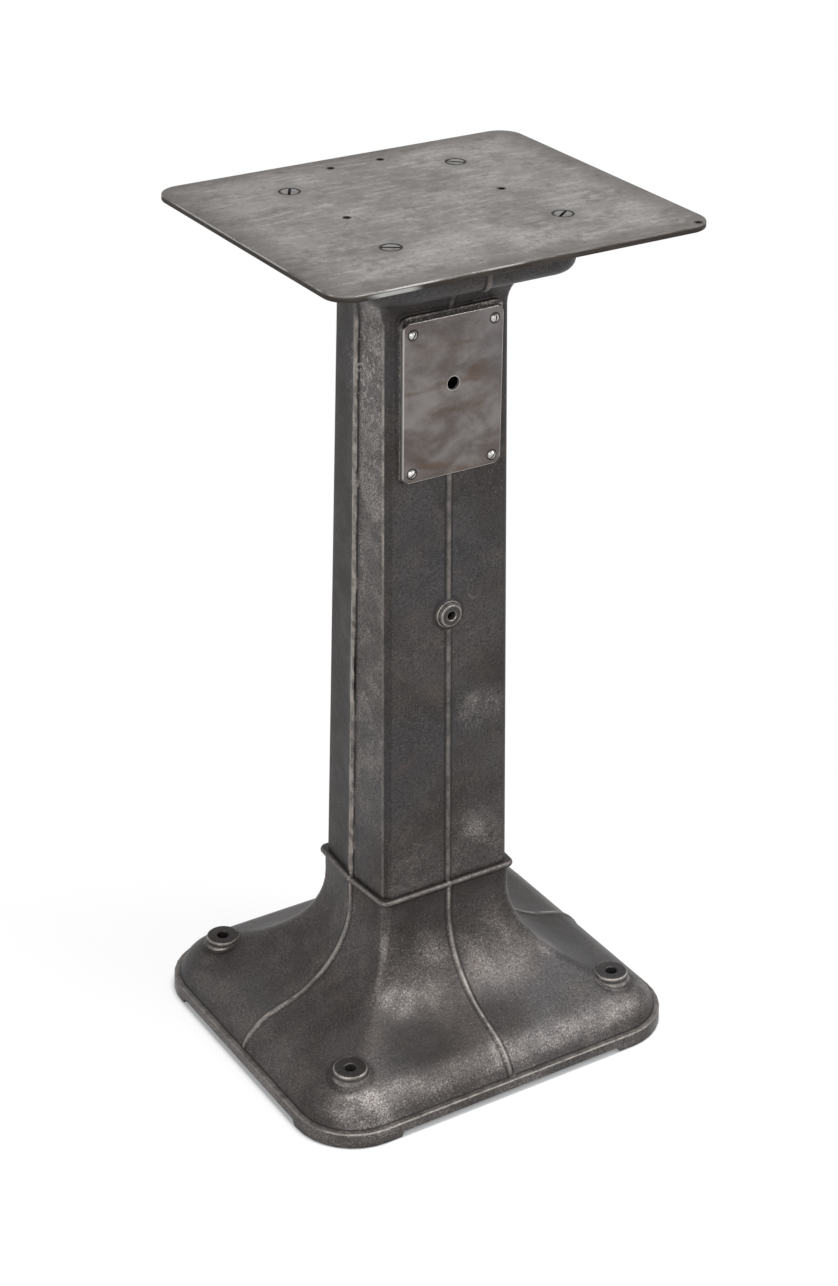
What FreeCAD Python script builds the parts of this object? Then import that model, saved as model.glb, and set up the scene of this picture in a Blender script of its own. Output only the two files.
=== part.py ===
"""Cast iron machine pedestal with a flared base, a tapered column and a flat work plate.

Millimetres, +Z up, +X along the plate's long side, -Y towards the cover plate.
The origin is on the floor, below the middle of the base.
"""
import FreeCAD, Part
import math
import os

import Sketcher

os.makedirs("parts", exist_ok=True)
doc = FreeCAD.newDocument("pedestal")
sizes = doc.addObject("Spreadsheet::Sheet", "Sizes")

# ---------------------------------------------------------------- driving sizes
SIZES = {
    # Base casting
    "base_width": 391,
    "base_depth": 346,
    "base_corner_radius": 60,
    "rim_height": 15.5,
    "rim_edge_radius": 2,
    "ledge_width": 5,
    "relief_height": 6,
    "relief_length_x": 236,
    "relief_length_y": 212,
    "shoulder_radius": 49,
    "shoulder_turn": 72,
    "deck_slope": 21.3,
    "flare_radius": 98,
    "corner_growth": 3.7,
    "neck_height": 24.3,
    "neck_step": 2,
    "bead_radius": 4,
    "parting_shift": 2.8,
    "base_wall": 9,
    "joint_flange": 14,
    "anchor_spacing_x": 288,
    "anchor_spacing_y": 243,
    "anchor_boss_top": 53.8,
    "anchor_boss_radius": 15.8,
    "anchor_boss_flare": 1.4,
    "anchor_hole": 11,
    # Column casting
    "column_ridge_foot": 71,
    "column_ridge_head": 62.8,
    "column_front_foot": 54.5,
    "column_front_head": 44.4,
    "column_ridge": 4,
    "column_corner_radius": 8,
    "column_wall": 8,
    "cavity_corner_radius": 4,
    "passage_x": 64,
    "passage_y": 44,
    "passage_radius": 10,
    "bead_width_radius": 3.2,
    "bead_sink": 1.2,
    "pan_width": 200,
    "pan_depth": 203,
    "pan_corner_radius": 32,
    "pan_height": 43,
    "pan_cove_radius": 36,
    "pan_edge_radius": 13,
    "pan_slope": 12,
    "pan_top_thickness": 12,
    "pan_opening_x": 110,
    "pan_opening_y": 90,
    # Overruns
    "cut_overrun": 1,
    "root_depth": 1,
    # Front boss
    "boss_drop": 352,
    "boss_radius": 10.8,
    "boss_proud": 6,
    "boss_collar_radius": 13,
    "boss_collar_proud": 2.6,
    "boss_hole": 8.5,
    # Cover plate and its frame
    "cover_width": 98,
    "cover_height": 141,
    "cover_thickness": 3,
    "cover_corner_radius": 7,
    "cover_edge_radius": 0.8,
    "cover_drop": 147,
    "cover_hole": 12,
    "cover_hole_rise": 12,
    "cover_screw_x": 80,
    "cover_screw_y": 124,
    "frame_proud": 3.3,
    "frame_margin": 1,
    "frame_top_margin": 6.5,
    "window_width": 66,
    "window_height": 108,
    "window_radius": 10,
    # Work plate
    "stand_height": 800,
    "plate_length": 356,
    "plate_depth": 305,
    "plate_thickness": 6,
    "plate_corner_radius": 22,
    "plate_edge_radius": 1.5,
    "plate_across": 2.4,
    "plate_forward": 8,
    "plate_screw_x": 164,
    "plate_screw_y": 162,
    "plate_screw_back": 1,
    "fixing_hole": 5,
    "fixing_hole_spacing": 150,
    "rear_hole_spacing": 49.5,
    "rear_hole_shift": 4.3,
    "rear_hole_back": 120,
    "corner_hole": 4,
    "corner_hole_inset_x": 14,
    "corner_hole_inset_y": 7,
    # Fasteners
    "plate_screw_head": 17.5,
    "plate_screw_shank": 8,
    "plate_screw_length": 17,
    "plate_screw_slot": 2,
    "plate_screw_slot_depth": 1.8,
    "cover_screw_head": 8,
    "cover_screw_head_height": 2.6,
    "cover_screw_shank": 4,
    "cover_screw_length": 9,
    "cover_screw_slot": 1.2,
    "cover_screw_slot_depth": 1.2,
    "bolt_shank": 10,
    "bolt_flats": 17,
    "bolt_head_height": 6.4,
    "bolt_length": 26,
    "bolt_spacing_x": 92,
    "bolt_spacing_y": 66,
    "washer_radius": 10,
    "washer_thickness": 2,
    "head_gap": 0.25,
    "thread_gap": 0.1,
    "bolt_gap": 0.5,
}


for row, (alias, number) in enumerate(SIZES.items(), start=1):
    sizes.set(f"A{row}", alias)
    sizes.set(f"B{row}", str(number))
    sizes.setAlias(f"B{row}", alias)
doc.recompute()


def value(expression):
    """The number that an expression on the sheet's cells has now."""
    result = sizes.evalExpression(str(expression))
    return float(getattr(result, "Value", result))


def cell(alias):
    """A sheet cell as it is written in an expression."""
    return f"Sizes.{alias}"


# ---------------------------------------------------------------- sketch helpers
def past_face(alias):
    """A thickness to cut through, with the overrun that clears its far face."""
    return f"({cell(alias)} + {cell('cut_overrun')})"


def origin_plane(body, role):
    """One of the body's own origin planes."""
    return next(item for item in body.Origin.OriginFeatures if item.Role == role)


def new_body(label):
    """A named body that stands in the shared frame."""
    body = doc.addObject("PartDesign::Body", label)
    body.Label = label
    body.Placement = FreeCAD.Placement()
    return body


def new_sketch(body, name, role, offset="0"):
    """An empty sketch on an origin plane, moved along the plane's normal."""
    sketch = body.newObject("Sketcher::SketchObject", name)
    sketch.AttachmentSupport = [(origin_plane(body, role), "")]
    sketch.MapMode = "FlatFace"
    sketch.setExpression("AttachmentOffset.Base.z", str(offset))
    return sketch


def bind(sketch, kind, *arguments, to):
    """Add a dimension and drive it by an expression; an angle is stored in radians."""
    number = value(to)
    if kind == "Angle":
        number = math.radians(number)
    index = sketch.addConstraint(Sketcher.Constraint(kind, *arguments, number))
    sketch.setExpression(f"Constraints[{index}]", str(to))


def place_point(sketch, edge, point, across, up):
    """Hold one end of an edge at its distances from the sketch's origin."""
    bind(sketch, "DistanceX", edge, point, to=across)
    bind(sketch, "DistanceY", edge, point, to=up)


def draw_path(sketch, points, arcs=None, closed=True):
    """Draw edges from point to point; arcs maps an edge's number to the (centre, radius) it turns round."""
    arcs = arcs or {}
    vectors = [FreeCAD.Vector(value(x), value(y), 0) for x, y in points]
    count = len(points) if closed else len(points) - 1
    for index in range(count):
        start, end = vectors[index], vectors[(index + 1) % len(points)]
        if index in arcs:
            centre, radius = arcs[index]
            middle = FreeCAD.Vector(value(centre[0]), value(centre[1]), 0)
            angles = [math.atan2(p.y - middle.y, p.x - middle.x) for p in (start, end)]
            circle = Part.Circle(middle, FreeCAD.Vector(0, 0, 1), value(radius))
            sketch.addGeometry(Part.ArcOfCircle(circle, *angles), False)
            bind(sketch, "Radius", index, to=radius)
        else:
            sketch.addGeometry(Part.LineSegment(start, end), False)
        place_point(sketch, index, 1, *points[index])
        if index:
            sketch.addConstraint(Sketcher.Constraint("Coincident", index - 1, 2, index, 1))
    last = count - 1
    if closed:
        sketch.addConstraint(Sketcher.Constraint("Coincident", last, 2, 0, 1))
    else:
        place_point(sketch, last, 2, *points[-1])


def draw_circle(sketch, across, up, radius):
    """A circle held by its centre and radius."""
    centre = FreeCAD.Vector(value(across), value(up), 0)
    circle = Part.Circle(centre, FreeCAD.Vector(0, 0, 1), value(radius))
    index = sketch.addGeometry(circle, False)
    place_point(sketch, index, 3, across, up)
    bind(sketch, "Radius", index, to=radius)


def draw_rounded_rectangle(sketch, left, right, low, high, radius):
    """A rectangle with four equal corner arcs."""
    inner_left, inner_right = f"({left} + {radius})", f"({right} - {radius})"
    inner_low, inner_high = f"({low} + {radius})", f"({high} - {radius})"
    points = [
        (inner_left, low), (inner_right, low), (right, inner_low), (right, inner_high),
        (inner_right, high), (inner_left, high), (left, inner_high), (left, inner_low)]
    centres = [
        (inner_right, inner_low), (inner_right, inner_high),
        (inner_left, inner_high), (inner_left, inner_low)]
    arcs = {2 * corner + 1: (centre, radius) for corner, centre in enumerate(centres)}
    draw_path(sketch, points, arcs)


def draw_casting_level(sketch, ridge, front, bulge, corner):
    """One level of a casting: flat front and back, sides of two facets, rounded corners.

    ridge is the half width at the side's middle line, bulge how far that line stands
    out from the corners, front the half depth and corner the corner's radius.
    """
    half_width, half_depth = value(ridge), value(front)
    radius = value(corner)
    lean = math.atan2(value(bulge), half_depth)
    centre_y = half_depth - radius
    centre_x = half_width - (radius + math.sin(lean) * centre_y) / math.cos(lean)
    facet = FreeCAD.Vector(
        centre_x + radius * math.cos(lean), centre_y + radius * math.sin(lean), 0)

    def line(x1, y1, x2, y2):
        sketch.addGeometry(
            Part.LineSegment(FreeCAD.Vector(x1, y1, 0), FreeCAD.Vector(x2, y2, 0)), False)

    def arc(x, y, start, end):
        circle = Part.Circle(FreeCAD.Vector(x, y, 0), FreeCAD.Vector(0, 0, 1), radius)
        sketch.addGeometry(Part.ArcOfCircle(circle, start, end), False)

    quarter = math.pi / 2
    line(half_width, 0, facet.x, facet.y)
    arc(centre_x, centre_y, lean, quarter)
    line(centre_x, half_depth, -centre_x, half_depth)
    arc(-centre_x, centre_y, quarter, 2 * quarter - lean)
    line(-facet.x, facet.y, -half_width, 0)
    line(-half_width, 0, -facet.x, -facet.y)
    arc(-centre_x, -centre_y, 2 * quarter + lean, 3 * quarter)
    line(-centre_x, -half_depth, centre_x, -half_depth)
    arc(centre_x, -centre_y, 3 * quarter, 4 * quarter - lean)
    line(facet.x, -facet.y, half_width, 0)

    edges = range(sketch.GeometryCount)
    right_back, corner_1, back, corner_2, left_back, *front_half = edges
    left_front, corner_3, front_edge, corner_4, right_front = front_half
    origin, x_axis, y_axis, start_point, end_point = -1, -1, -2, 1, 2
    ridges = [(left_back, left_front), (right_front, right_back)]
    rules = [Sketcher.Constraint("Coincident", one, end_point, two, start_point) for one, two in ridges]
    rules += [Sketcher.Constraint("PointOnObject", two, start_point, x_axis) for _, two in ridges]
    for one in edges[:-1]:
        if one != left_back:
            rules.append(Sketcher.Constraint("Tangent", one, end_point, one + 1, start_point))
    for face in (back, front_edge):
        rules.append(Sketcher.Constraint("Symmetric", face, start_point, face, end_point, y_axis))
    rules += [Sketcher.Constraint("Equal", corner_1, other) for other in (corner_2, corner_3, corner_4)]
    sketch.addConstraint(rules)
    bind(sketch, "Radius", corner_1, to=corner)
    bind(sketch, "DistanceY", origin, start_point, back, start_point, to=front)
    bind(sketch, "DistanceY", front_edge, start_point, origin, start_point, to=front)
    bind(sketch, "DistanceX", origin, start_point, right_back, start_point, to=ridge)
    bind(sketch, "DistanceX", left_front, start_point, origin, start_point, to=ridge)
    bind(sketch, "Angle", right_back, to=f"90 deg + atan(({bulge}) / ({front}))")
    bind(sketch, "Angle", right_front, to=f"90 deg - atan(({bulge}) / ({front}))")


# ---------------------------------------------------------------- feature helpers
def loft(body, name, levels, kind="PartDesign::AdditiveLoft"):
    """Loft through levels of (height, ridge, front, bulge, corner)."""
    sketches = []
    for number, (height, *outline) in enumerate(levels):
        sketch = new_sketch(body, f"{name}Level{number}", "XY_Plane", height)
        draw_casting_level(sketch, *outline)
        sketches.append(sketch)
    feature = body.newObject(kind, name)
    feature.Profile = sketches[0]
    feature.Sections = sketches[1:]
    feature.Ruled = True
    return feature


def pad(body, name, sketch, length, reverse=False):
    """Raise a sketch by a length along its normal, or against it."""
    feature = body.newObject("PartDesign::Pad", name)
    feature.Profile = sketch
    feature.Reversed = reverse
    feature.setExpression("Length", str(length))
    return feature


def pocket(body, name, sketch, length, reverse=False, both_ways=False):
    """Cut a sketch to a depth against its normal, along it, or evenly to both sides."""
    feature = body.newObject("PartDesign::Pocket", name)
    feature.Profile = sketch
    feature.Reversed = reverse
    feature.Midplane = both_ways
    feature.setExpression("Length", str(length))
    return feature


def mirror(body, name, originals, role):
    """Repeat features on the other side of an origin plane."""
    feature = body.newObject("PartDesign::Mirrored", name)
    feature.Originals = originals
    feature.MirrorPlane = (origin_plane(body, role), [""])
    body.Tip = feature
    return feature


def revolve(body, name, sketch):
    """Turn a profile a full turn about the sketch's vertical axis."""
    feature = body.newObject("PartDesign::Revolution", name)
    feature.Profile = sketch
    feature.ReferenceAxis = (sketch, ["V_Axis"])
    feature.Angle = 360
    return feature


def round_edges(body, name, radius, chosen):
    """Fillet the tip's edges that a test on the edge chooses."""
    doc.recompute()
    tip = body.Tip
    edges = [f"Edge{i + 1}" for i, edge in enumerate(tip.Shape.Edges) if chosen(edge)]
    feature = body.newObject("PartDesign::Fillet", name)
    feature.Base = (tip, edges)
    feature.setExpression("Radius", str(radius))
    return feature


def lies_at(height):
    """A test for edges that lie level at a height given by an expression."""
    level = value(height)

    def chosen(edge):
        box = edge.BoundBox
        return abs(box.ZMin - level) < 0.001 and abs(box.ZMax - level) < 0.001

    return chosen


# ---------------------------------------------------------------- base casting outline
NECK_RIDGE = f"({cell('column_ridge_foot')} + {cell('neck_step')})"
NECK_FRONT = f"({cell('column_front_foot')} + {cell('neck_step')})"
BODY_RIDGE = f"({cell('base_width')} / 2 - {cell('ledge_width')})"
BODY_FRONT = f"({cell('base_depth')} / 2 - {cell('ledge_width')})"
BODY_CORNER = f"({cell('base_corner_radius')} - {cell('ledge_width')})"
RUN_FRONT = f"({BODY_FRONT} - {NECK_FRONT})"
RUN_SIDE = f"({BODY_RIDGE} - {NECK_RIDGE})"
SLOPE = f"({cell('deck_slope')} * 1 deg)"
SHOULDER_TURN = f"({cell('shoulder_turn')} * 1 deg)"
RIM_LEDGE = f"({cell('rim_height')} - {cell('rim_edge_radius')})"
SHOULDER_RUN = f"({RUN_FRONT} - {cell('shoulder_radius')} * sin({SHOULDER_TURN}))"
SHOULDER_HEIGHT = f"({RIM_LEDGE} - {cell('shoulder_radius')} * cos({SHOULDER_TURN}))"
DECK_END_RUN = f"({SHOULDER_RUN} + {cell('shoulder_radius')} * sin({SLOPE}))"
DECK_END_HEIGHT = f"({SHOULDER_HEIGHT} + {cell('shoulder_radius')} * cos({SLOPE}))"
ARC_END_RUN = f"({cell('flare_radius')} * (1 - sin({SLOPE})))"
ARC_END_HEIGHT = f"({DECK_END_HEIGHT} + tan({SLOPE}) * ({DECK_END_RUN} - {ARC_END_RUN}))"
FLARE_TOP = f"({ARC_END_HEIGHT} + {cell('flare_radius')} * cos({SLOPE}))"
NECK_TOP = f"({FLARE_TOP} + {cell('neck_height')})"
FLARE_STEPS = 7
SHOULDER_STEPS = 5


def base_profile(inset):
    """Points (run, height, side share) down the outside, moved inwards by an inset.

    The run counts outwards from the neck. The side share is how much of the extra
    length of the deck, on the base's long axis, lies above that point.
    """
    reach = f"({cell('flare_radius')} + ({inset}))"
    bend = f"({cell('shoulder_radius')} - ({inset}))"
    points = []
    for step in range(FLARE_STEPS + 1):
        turn = f"((90 deg - {SLOPE}) * {step} / {FLARE_STEPS})"
        run = f"({cell('flare_radius')} - {reach} * cos({turn}))"
        points.append((run, f"({FLARE_TOP} - {reach} * sin({turn}))", 0))
    for step in range(SHOULDER_STEPS + 1):
        turn = f"({SLOPE} + ({SHOULDER_TURN} - {SLOPE}) * {step} / {SHOULDER_STEPS})"
        run = f"({SHOULDER_RUN} + {bend} * sin({turn}))"
        points.append((run, f"({SHOULDER_HEIGHT} + {bend} * cos({turn}))", 1))
    upper, lower = points[FLARE_STEPS], points[FLARE_STEPS + 1]
    middle = [f"(({upper[i]} + {lower[i]}) / 2)" for i in (0, 1)]
    points.insert(FLARE_STEPS + 1, (middle[0], middle[1], 0.5))
    return points


def base_level(point, inset, neck_corner, body_corner):
    """One level of the base casting from a point of its profile."""
    run, height, side_share = point
    ridge = f"({NECK_RIDGE} + {run} + {side_share} * ({RUN_SIDE} - {RUN_FRONT}))"
    front = f"({NECK_FRONT} + {run})"
    outer_run = f"max(0; ({run} + ({inset})) / {RUN_FRONT})"
    bulge = f"({cell('column_ridge')} * max(0; 1 - 2 * {outer_run}))"
    growth = f"min(1; {outer_run})^{cell('corner_growth')}"
    corner = f"({neck_corner} + ({body_corner} - {neck_corner}) * {growth})"
    return height, ridge, front, bulge, corner


def base_levels(inset, neck_corner, body_corner, lowest, highest):
    """All levels of the base casting, from the lowest height to the highest."""
    points = base_profile(inset)
    foot = (points[-1][0], lowest, points[-1][2])
    head = (points[0][0], highest, points[0][2])
    ordered = [foot] + points[::-1] + [head]
    return [base_level(point, inset, neck_corner, body_corner) for point in ordered]


# ---------------------------------------------------------------- column casting outline
COLUMN_FOOT = NECK_TOP
PAN_TOP = f"({cell('stand_height')} - {cell('plate_thickness')})"
PAN_UNDERSIDE = f"({PAN_TOP} - {cell('pan_height')})"
COVE_START = f"({PAN_UNDERSIDE} - {cell('pan_cove_radius')})"
PAN_RUN_FRONT = f"({cell('pan_depth')} / 2 - {cell('column_front_head')})"
PAN_RUN_SIDE = f"({cell('pan_width')} / 2 - {cell('column_ridge_head')})"
PAN_SLOPE = f"({cell('pan_slope')} * 1 deg)"
PAN_BEND_RUN = f"({PAN_RUN_FRONT} - {cell('pan_edge_radius')})"
PAN_EDGE_START = f"({PAN_BEND_RUN} + {cell('pan_edge_radius')} * sin({PAN_SLOPE}))"
PAN_RISE = f"(tan({PAN_SLOPE}) * ({PAN_EDGE_START} - {cell('pan_cove_radius')}))"
PAN_BEND_HEIGHT = (
    f"({PAN_UNDERSIDE} + {PAN_RISE} + {cell('pan_edge_radius')} * cos({PAN_SLOPE}))")
COVE_STEPS = 5
PAN_EDGE_STEPS = 5


def column_size(foot, head, height):
    """A half size of the column at a height, on the straight taper from foot to head."""
    share = f"(({height} - {COLUMN_FOOT}) / ({COVE_START} - {COLUMN_FOOT}))"
    return f"({cell(foot)} + ({cell(head)} - {cell(foot)}) * {share})"


BOSS_HEIGHT = f"({PAN_TOP} - {cell('boss_drop')})"
BOSS_SEAT = column_size("column_front_foot", "column_front_head", BOSS_HEIGHT)
COVER_CENTRE = f"({PAN_TOP} - {cell('cover_drop')})"
FRAME_TOP = f"({COVER_CENTRE} + {cell('cover_height')} / 2 + {cell('frame_top_margin')})"
FRAME_FACE = f"({column_size('column_front_foot', 'column_front_head', FRAME_TOP)} + {cell('frame_proud')})"
COVER_FACE = f"({FRAME_FACE} + {cell('cover_thickness')})"


def pan_profile(inset):
    """Points (run, height) up the cove and round the pan's lower edge, moved inwards."""
    reach = f"({cell('pan_cove_radius')} + ({inset}))"
    bend = f"({cell('pan_edge_radius')} - ({inset}))"
    points = []
    for step in range(COVE_STEPS + 1):
        turn = f"((90 deg - {PAN_SLOPE}) * {step} / {COVE_STEPS})"
        run = f"({cell('pan_cove_radius')} - {reach} * cos({turn}))"
        points.append((run, f"({COVE_START} + {reach} * sin({turn}))"))
    for step in range(PAN_EDGE_STEPS + 1):
        turn = f"({PAN_SLOPE} + (90 deg - {PAN_SLOPE}) * {step} / {PAN_EDGE_STEPS})"
        run = f"({PAN_BEND_RUN} + {bend} * sin({turn}))"
        points.append((run, f"({PAN_BEND_HEIGHT} - {bend} * cos({turn}))"))
    return points


def pan_levels(inset, column_corner, pan_corner, highest):
    """The levels from the head of the straight column to the top of the pan."""
    levels = []
    for run, height in pan_profile(inset):
        outer_run = f"max(0; {run} + ({inset}))"
        share = f"min(1; {outer_run} / {PAN_RUN_FRONT})"
        ridge = f"({cell('column_ridge_head')} + {share} * {PAN_RUN_SIDE} - ({inset}))"
        front = f"({cell('column_front_head')} + {run})"
        bulge = f"({cell('column_ridge')} * (1 - {share}))"
        corner = f"({column_corner} + ({pan_corner} - {column_corner}) * {share}^2)"
        levels.append((height, ridge, front, bulge, corner))
    return levels + [(highest, *levels[-1][1:])]


# ---------------------------------------------------------------- surface beads
def bead_along(body, name, role, points, shift="0"):
    """Sweep the round bead that half sinks into a face, along a path beside an origin plane."""
    spine = new_sketch(body, f"{name}Path", role, shift)
    draw_path(spine, points, closed=False)
    section = new_sketch(body, f"{name}Section", "XY_Plane", points[0][1])
    across, up = (points[0][0], f"-({shift})") if role == "XZ_Plane" else ("0", points[0][0])
    draw_circle(section, across, up, cell("bead_width_radius"))
    feature = body.newObject("PartDesign::AdditivePipe", name)
    feature.Profile = section
    feature.Spine = (spine, [])
    return feature


def base_bead_levels():
    """The levels that the base's beads follow, from the ring bead down to the rim."""
    lowest = f"({RIM_LEDGE} - {cell('root_depth')})"
    highest = f"({NECK_TOP} - {cell('bead_radius')})"
    levels = base_levels(cell("bead_sink"), "0", "0", lowest, highest)
    return levels[::-1]


def column_bead_levels():
    """The levels that the column's beads follow, from its foot to the top of the pan."""
    sink = cell("bead_sink")
    ridge, front = f"({cell('column_ridge_foot')} - {sink})", f"({cell('column_front_foot')} - {sink})"
    return [(COLUMN_FOOT, ridge, front)] + pan_levels(sink, "0", "0", PAN_TOP)


def four_beads(body, levels, side_shift="0"):
    """The beads on all four faces of a casting; the side ones lie on its parting line."""
    side_path = [(f"-{ridge}", height) for height, ridge, *_ in levels]
    front_path = [(f"-{front}", height) for height, _, front, *_ in levels]
    front = bead_along(body, "FrontBead", "YZ_Plane", front_path)
    mirror(body, "BackBead", [front], "XZ_Plane")
    left = bead_along(body, "LeftBead", "XZ_Plane", side_path, side_shift)
    mirror(body, "RightBead", [left], "YZ_Plane")


# ---------------------------------------------------------------- hole patterns
def corner_places(spacing_x, spacing_y, across="0", back="0"):
    """The four places of a rectangular pattern: back left, front left, back right, front right."""
    return [
        (f"({side} * {cell(spacing_x)} / 2 + {across})", f"({depth} * {cell(spacing_y)} / 2 + {back})")
        for side in (-1, 1) for depth in (1, -1)]


def round_holes(body, name, role, offset, places, radius, depth, reverse=False):
    """Cut round holes of one radius at several places of a plane."""
    sketch = new_sketch(body, f"{name}Outline", role, offset)
    for across, up in places:
        draw_circle(sketch, across, up, radius)
    return pocket(body, name, sketch, depth, reverse)


BOLT_PLACES = corner_places("bolt_spacing_x", "bolt_spacing_y")
ANCHOR_PLACES = corner_places("anchor_spacing_x", "anchor_spacing_y")
PLATE_SCREW_PLACES = corner_places(
    "plate_screw_x", "plate_screw_y", cell("plate_across"), cell("plate_screw_back"))
COVER_SCREW_PLACES = [
    (across, f"({up} + {COVER_CENTRE})")
    for across, up in corner_places("cover_screw_x", "cover_screw_y")]


def passage_cut(body, name, offset, depth, reverse):
    """The opening through a joint flange, from the column's hollow to the base's."""
    sketch = new_sketch(body, f"{name}Outline", "XY_Plane", offset)
    half_x, half_y = f"({cell('passage_x')} / 2)", f"({cell('passage_y')} / 2)"
    draw_rounded_rectangle(sketch, f"-{half_x}", half_x, f"-{half_y}", half_y, cell("passage_radius"))
    return pocket(body, name, sketch, depth, reverse)


# ---------------------------------------------------------------- base casting
def relief_cut(body, name, role, length, reach):
    """The low arch between two corner pads, with sloped ends, cut right across the rim."""
    half = f"({cell(length)} / 2)"
    rise = cell("relief_height")
    points = [
        (f"-({half} + {rise})", "0"), (f"({half} + {rise})", "0"),
        (half, rise), (f"-{half}", rise)]
    sketch = new_sketch(body, f"{name}Outline", role)
    draw_path(sketch, points)
    return pocket(body, name, sketch, f"{cell(reach)} + 2 * {cell('ledge_width')}", both_ways=True)


def make_base_casting():
    """The hollow base: rim, deck, flare and neck with its ring bead, open to the floor."""
    body = new_body("base_casting")
    rim = new_sketch(body, "RimOutline", "XY_Plane")
    half_width, half_depth = f"({cell('base_width')} / 2)", f"({cell('base_depth')} / 2)"
    draw_rounded_rectangle(
        rim, f"-{half_width}", half_width, f"-{half_depth}", half_depth, cell("base_corner_radius"))
    pad(body, "Rim", rim, cell("rim_height"))
    round_edges(body, "RimEdge", cell("rim_edge_radius"), lies_at(cell("rim_height")))

    loft(body, "Shell", base_levels(
        "0", cell("column_corner_radius"), BODY_CORNER, f"({RIM_LEDGE} - {cell('root_depth')})", NECK_TOP))
    make_ring_bead(body)
    four_beads(body, base_bead_levels(), cell("parting_shift"))
    make_anchor_bosses(body)

    wall = cell("base_wall")
    loft(body, "Hollow", base_levels(
        wall, cell("cavity_corner_radius"), f"({BODY_CORNER} - {wall})",
        f"-{cell('rim_height')}", f"({NECK_TOP} - {cell('joint_flange')})"),
        kind="PartDesign::SubtractiveLoft")
    passage_cut(body, "Passage", NECK_TOP, past_face("joint_flange"), reverse=False)
    round_holes(
        body, "BoltHoles", "XY_Plane", NECK_TOP, BOLT_PLACES,
        f"({cell('bolt_shank')} + {cell('bolt_gap')}) / 2", past_face("joint_flange"))
    round_holes(
        body, "AnchorHoles", "XY_Plane", cell("anchor_boss_top"), ANCHOR_PLACES,
        f"{cell('anchor_hole')} / 2", cell("anchor_boss_top"))
    relief_cut(body, "FrontRelief", "XZ_Plane", "relief_length_x", "base_depth")
    relief_cut(body, "SideRelief", "YZ_Plane", "relief_length_y", "base_width")
    return body


def make_ring_bead(body):
    """The half-round ring at the top of the neck, where the column stands on the base."""
    radius = cell("bead_radius")
    levels = []
    for angle in range(-90, 91, 30):
        out = f"({radius} * cos({angle} deg))"
        height = f"({NECK_TOP} - {radius} + {radius} * sin({angle} deg))"
        corner = f"({cell('column_corner_radius')} + {out})"
        levels.append((
            height, f"({NECK_RIDGE} + {out})", f"({NECK_FRONT} + {out})", cell("column_ridge"), corner))
    loft(body, "RingBead", levels)


def make_anchor_bosses(body):
    """The four raised seats of the floor bolts, a little wider at the foot."""
    low = RIM_LEDGE
    rise = f"({cell('anchor_boss_top')} - {low})"
    radius = cell("anchor_boss_radius")
    for number, (across, up) in enumerate(ANCHOR_PLACES):
        boss = body.newObject("PartDesign::AdditiveCone", f"AnchorBoss{number + 1}")
        boss.AttachmentSupport = [(origin_plane(body, "XY_Plane"), "")]
        boss.MapMode = "FlatFace"
        for axis, place in (("x", across), ("y", up), ("z", low)):
            boss.setExpression(f"AttachmentOffset.Base.{axis}", place)
        boss.setExpression("Radius1", f"{radius} + {cell('anchor_boss_flare')}")
        boss.setExpression("Radius2", radius)
        boss.setExpression("Height", rise)


# ---------------------------------------------------------------- column casting
def make_column_casting():
    """The hollow tapered column with the pan at its head and the cover's frame in front."""
    body = new_body("column_casting")
    ridge_foot, ridge_head = cell("column_ridge_foot"), cell("column_ridge_head")
    front_foot, front_head = cell("column_front_foot"), cell("column_front_head")
    corner, bulge = cell("column_corner_radius"), cell("column_ridge")
    foot_level = (COLUMN_FOOT, ridge_foot, front_foot, bulge, corner)
    head_level = (COVE_START, ridge_head, front_head, bulge, corner)
    loft(body, "Shaft", [foot_level, head_level])
    loft(body, "Pan", pan_levels("0", corner, cell("pan_corner_radius"), PAN_TOP))
    four_beads(body, column_bead_levels())
    make_front_boss(body)
    make_cover_frame(body)
    hollow_column(body)
    passage_cut(body, "Passage", COLUMN_FOOT, past_face("joint_flange"), reverse=True)
    round_holes(
        body, "BoltHoles", "XY_Plane", COLUMN_FOOT, BOLT_PLACES,
        f"{cell('bolt_shank')} / 2 + {cell('thread_gap')}", cell("joint_flange"), reverse=True)
    opening = new_sketch(body, "PanOpeningOutline", "XY_Plane", PAN_TOP)
    half_x, half_y = f"({cell('pan_opening_x')} / 2)", f"({cell('pan_opening_y')} / 2)"
    draw_rounded_rectangle(opening, f"-{half_x}", half_x, f"-{half_y}", half_y, cell("passage_radius"))
    pocket(body, "PanOpening", opening, past_face("pan_top_thickness"))
    round_holes(
        body, "PlateScrewHoles", "XY_Plane", PAN_TOP, PLATE_SCREW_PLACES,
        f"{cell('plate_screw_shank')} / 2 + {cell('thread_gap')}", cell("pan_top_thickness"))
    round_holes(
        body, "CoverScrewHoles", "XZ_Plane", FRAME_FACE, COVER_SCREW_PLACES,
        f"{cell('cover_screw_shank')} / 2 + {cell('thread_gap')}",
        f"{cell('cover_screw_length')} - {cell('cover_thickness')} + {cell('cut_overrun')}")
    round_holes(
        body, "BossHole", "XZ_Plane", f"({BOSS_SEAT} + {cell('boss_proud')})", [("0", BOSS_HEIGHT)],
        f"{cell('boss_hole')} / 2", f"{cell('boss_proud')} + 2 * {cell('column_wall')}")
    return body


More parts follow.
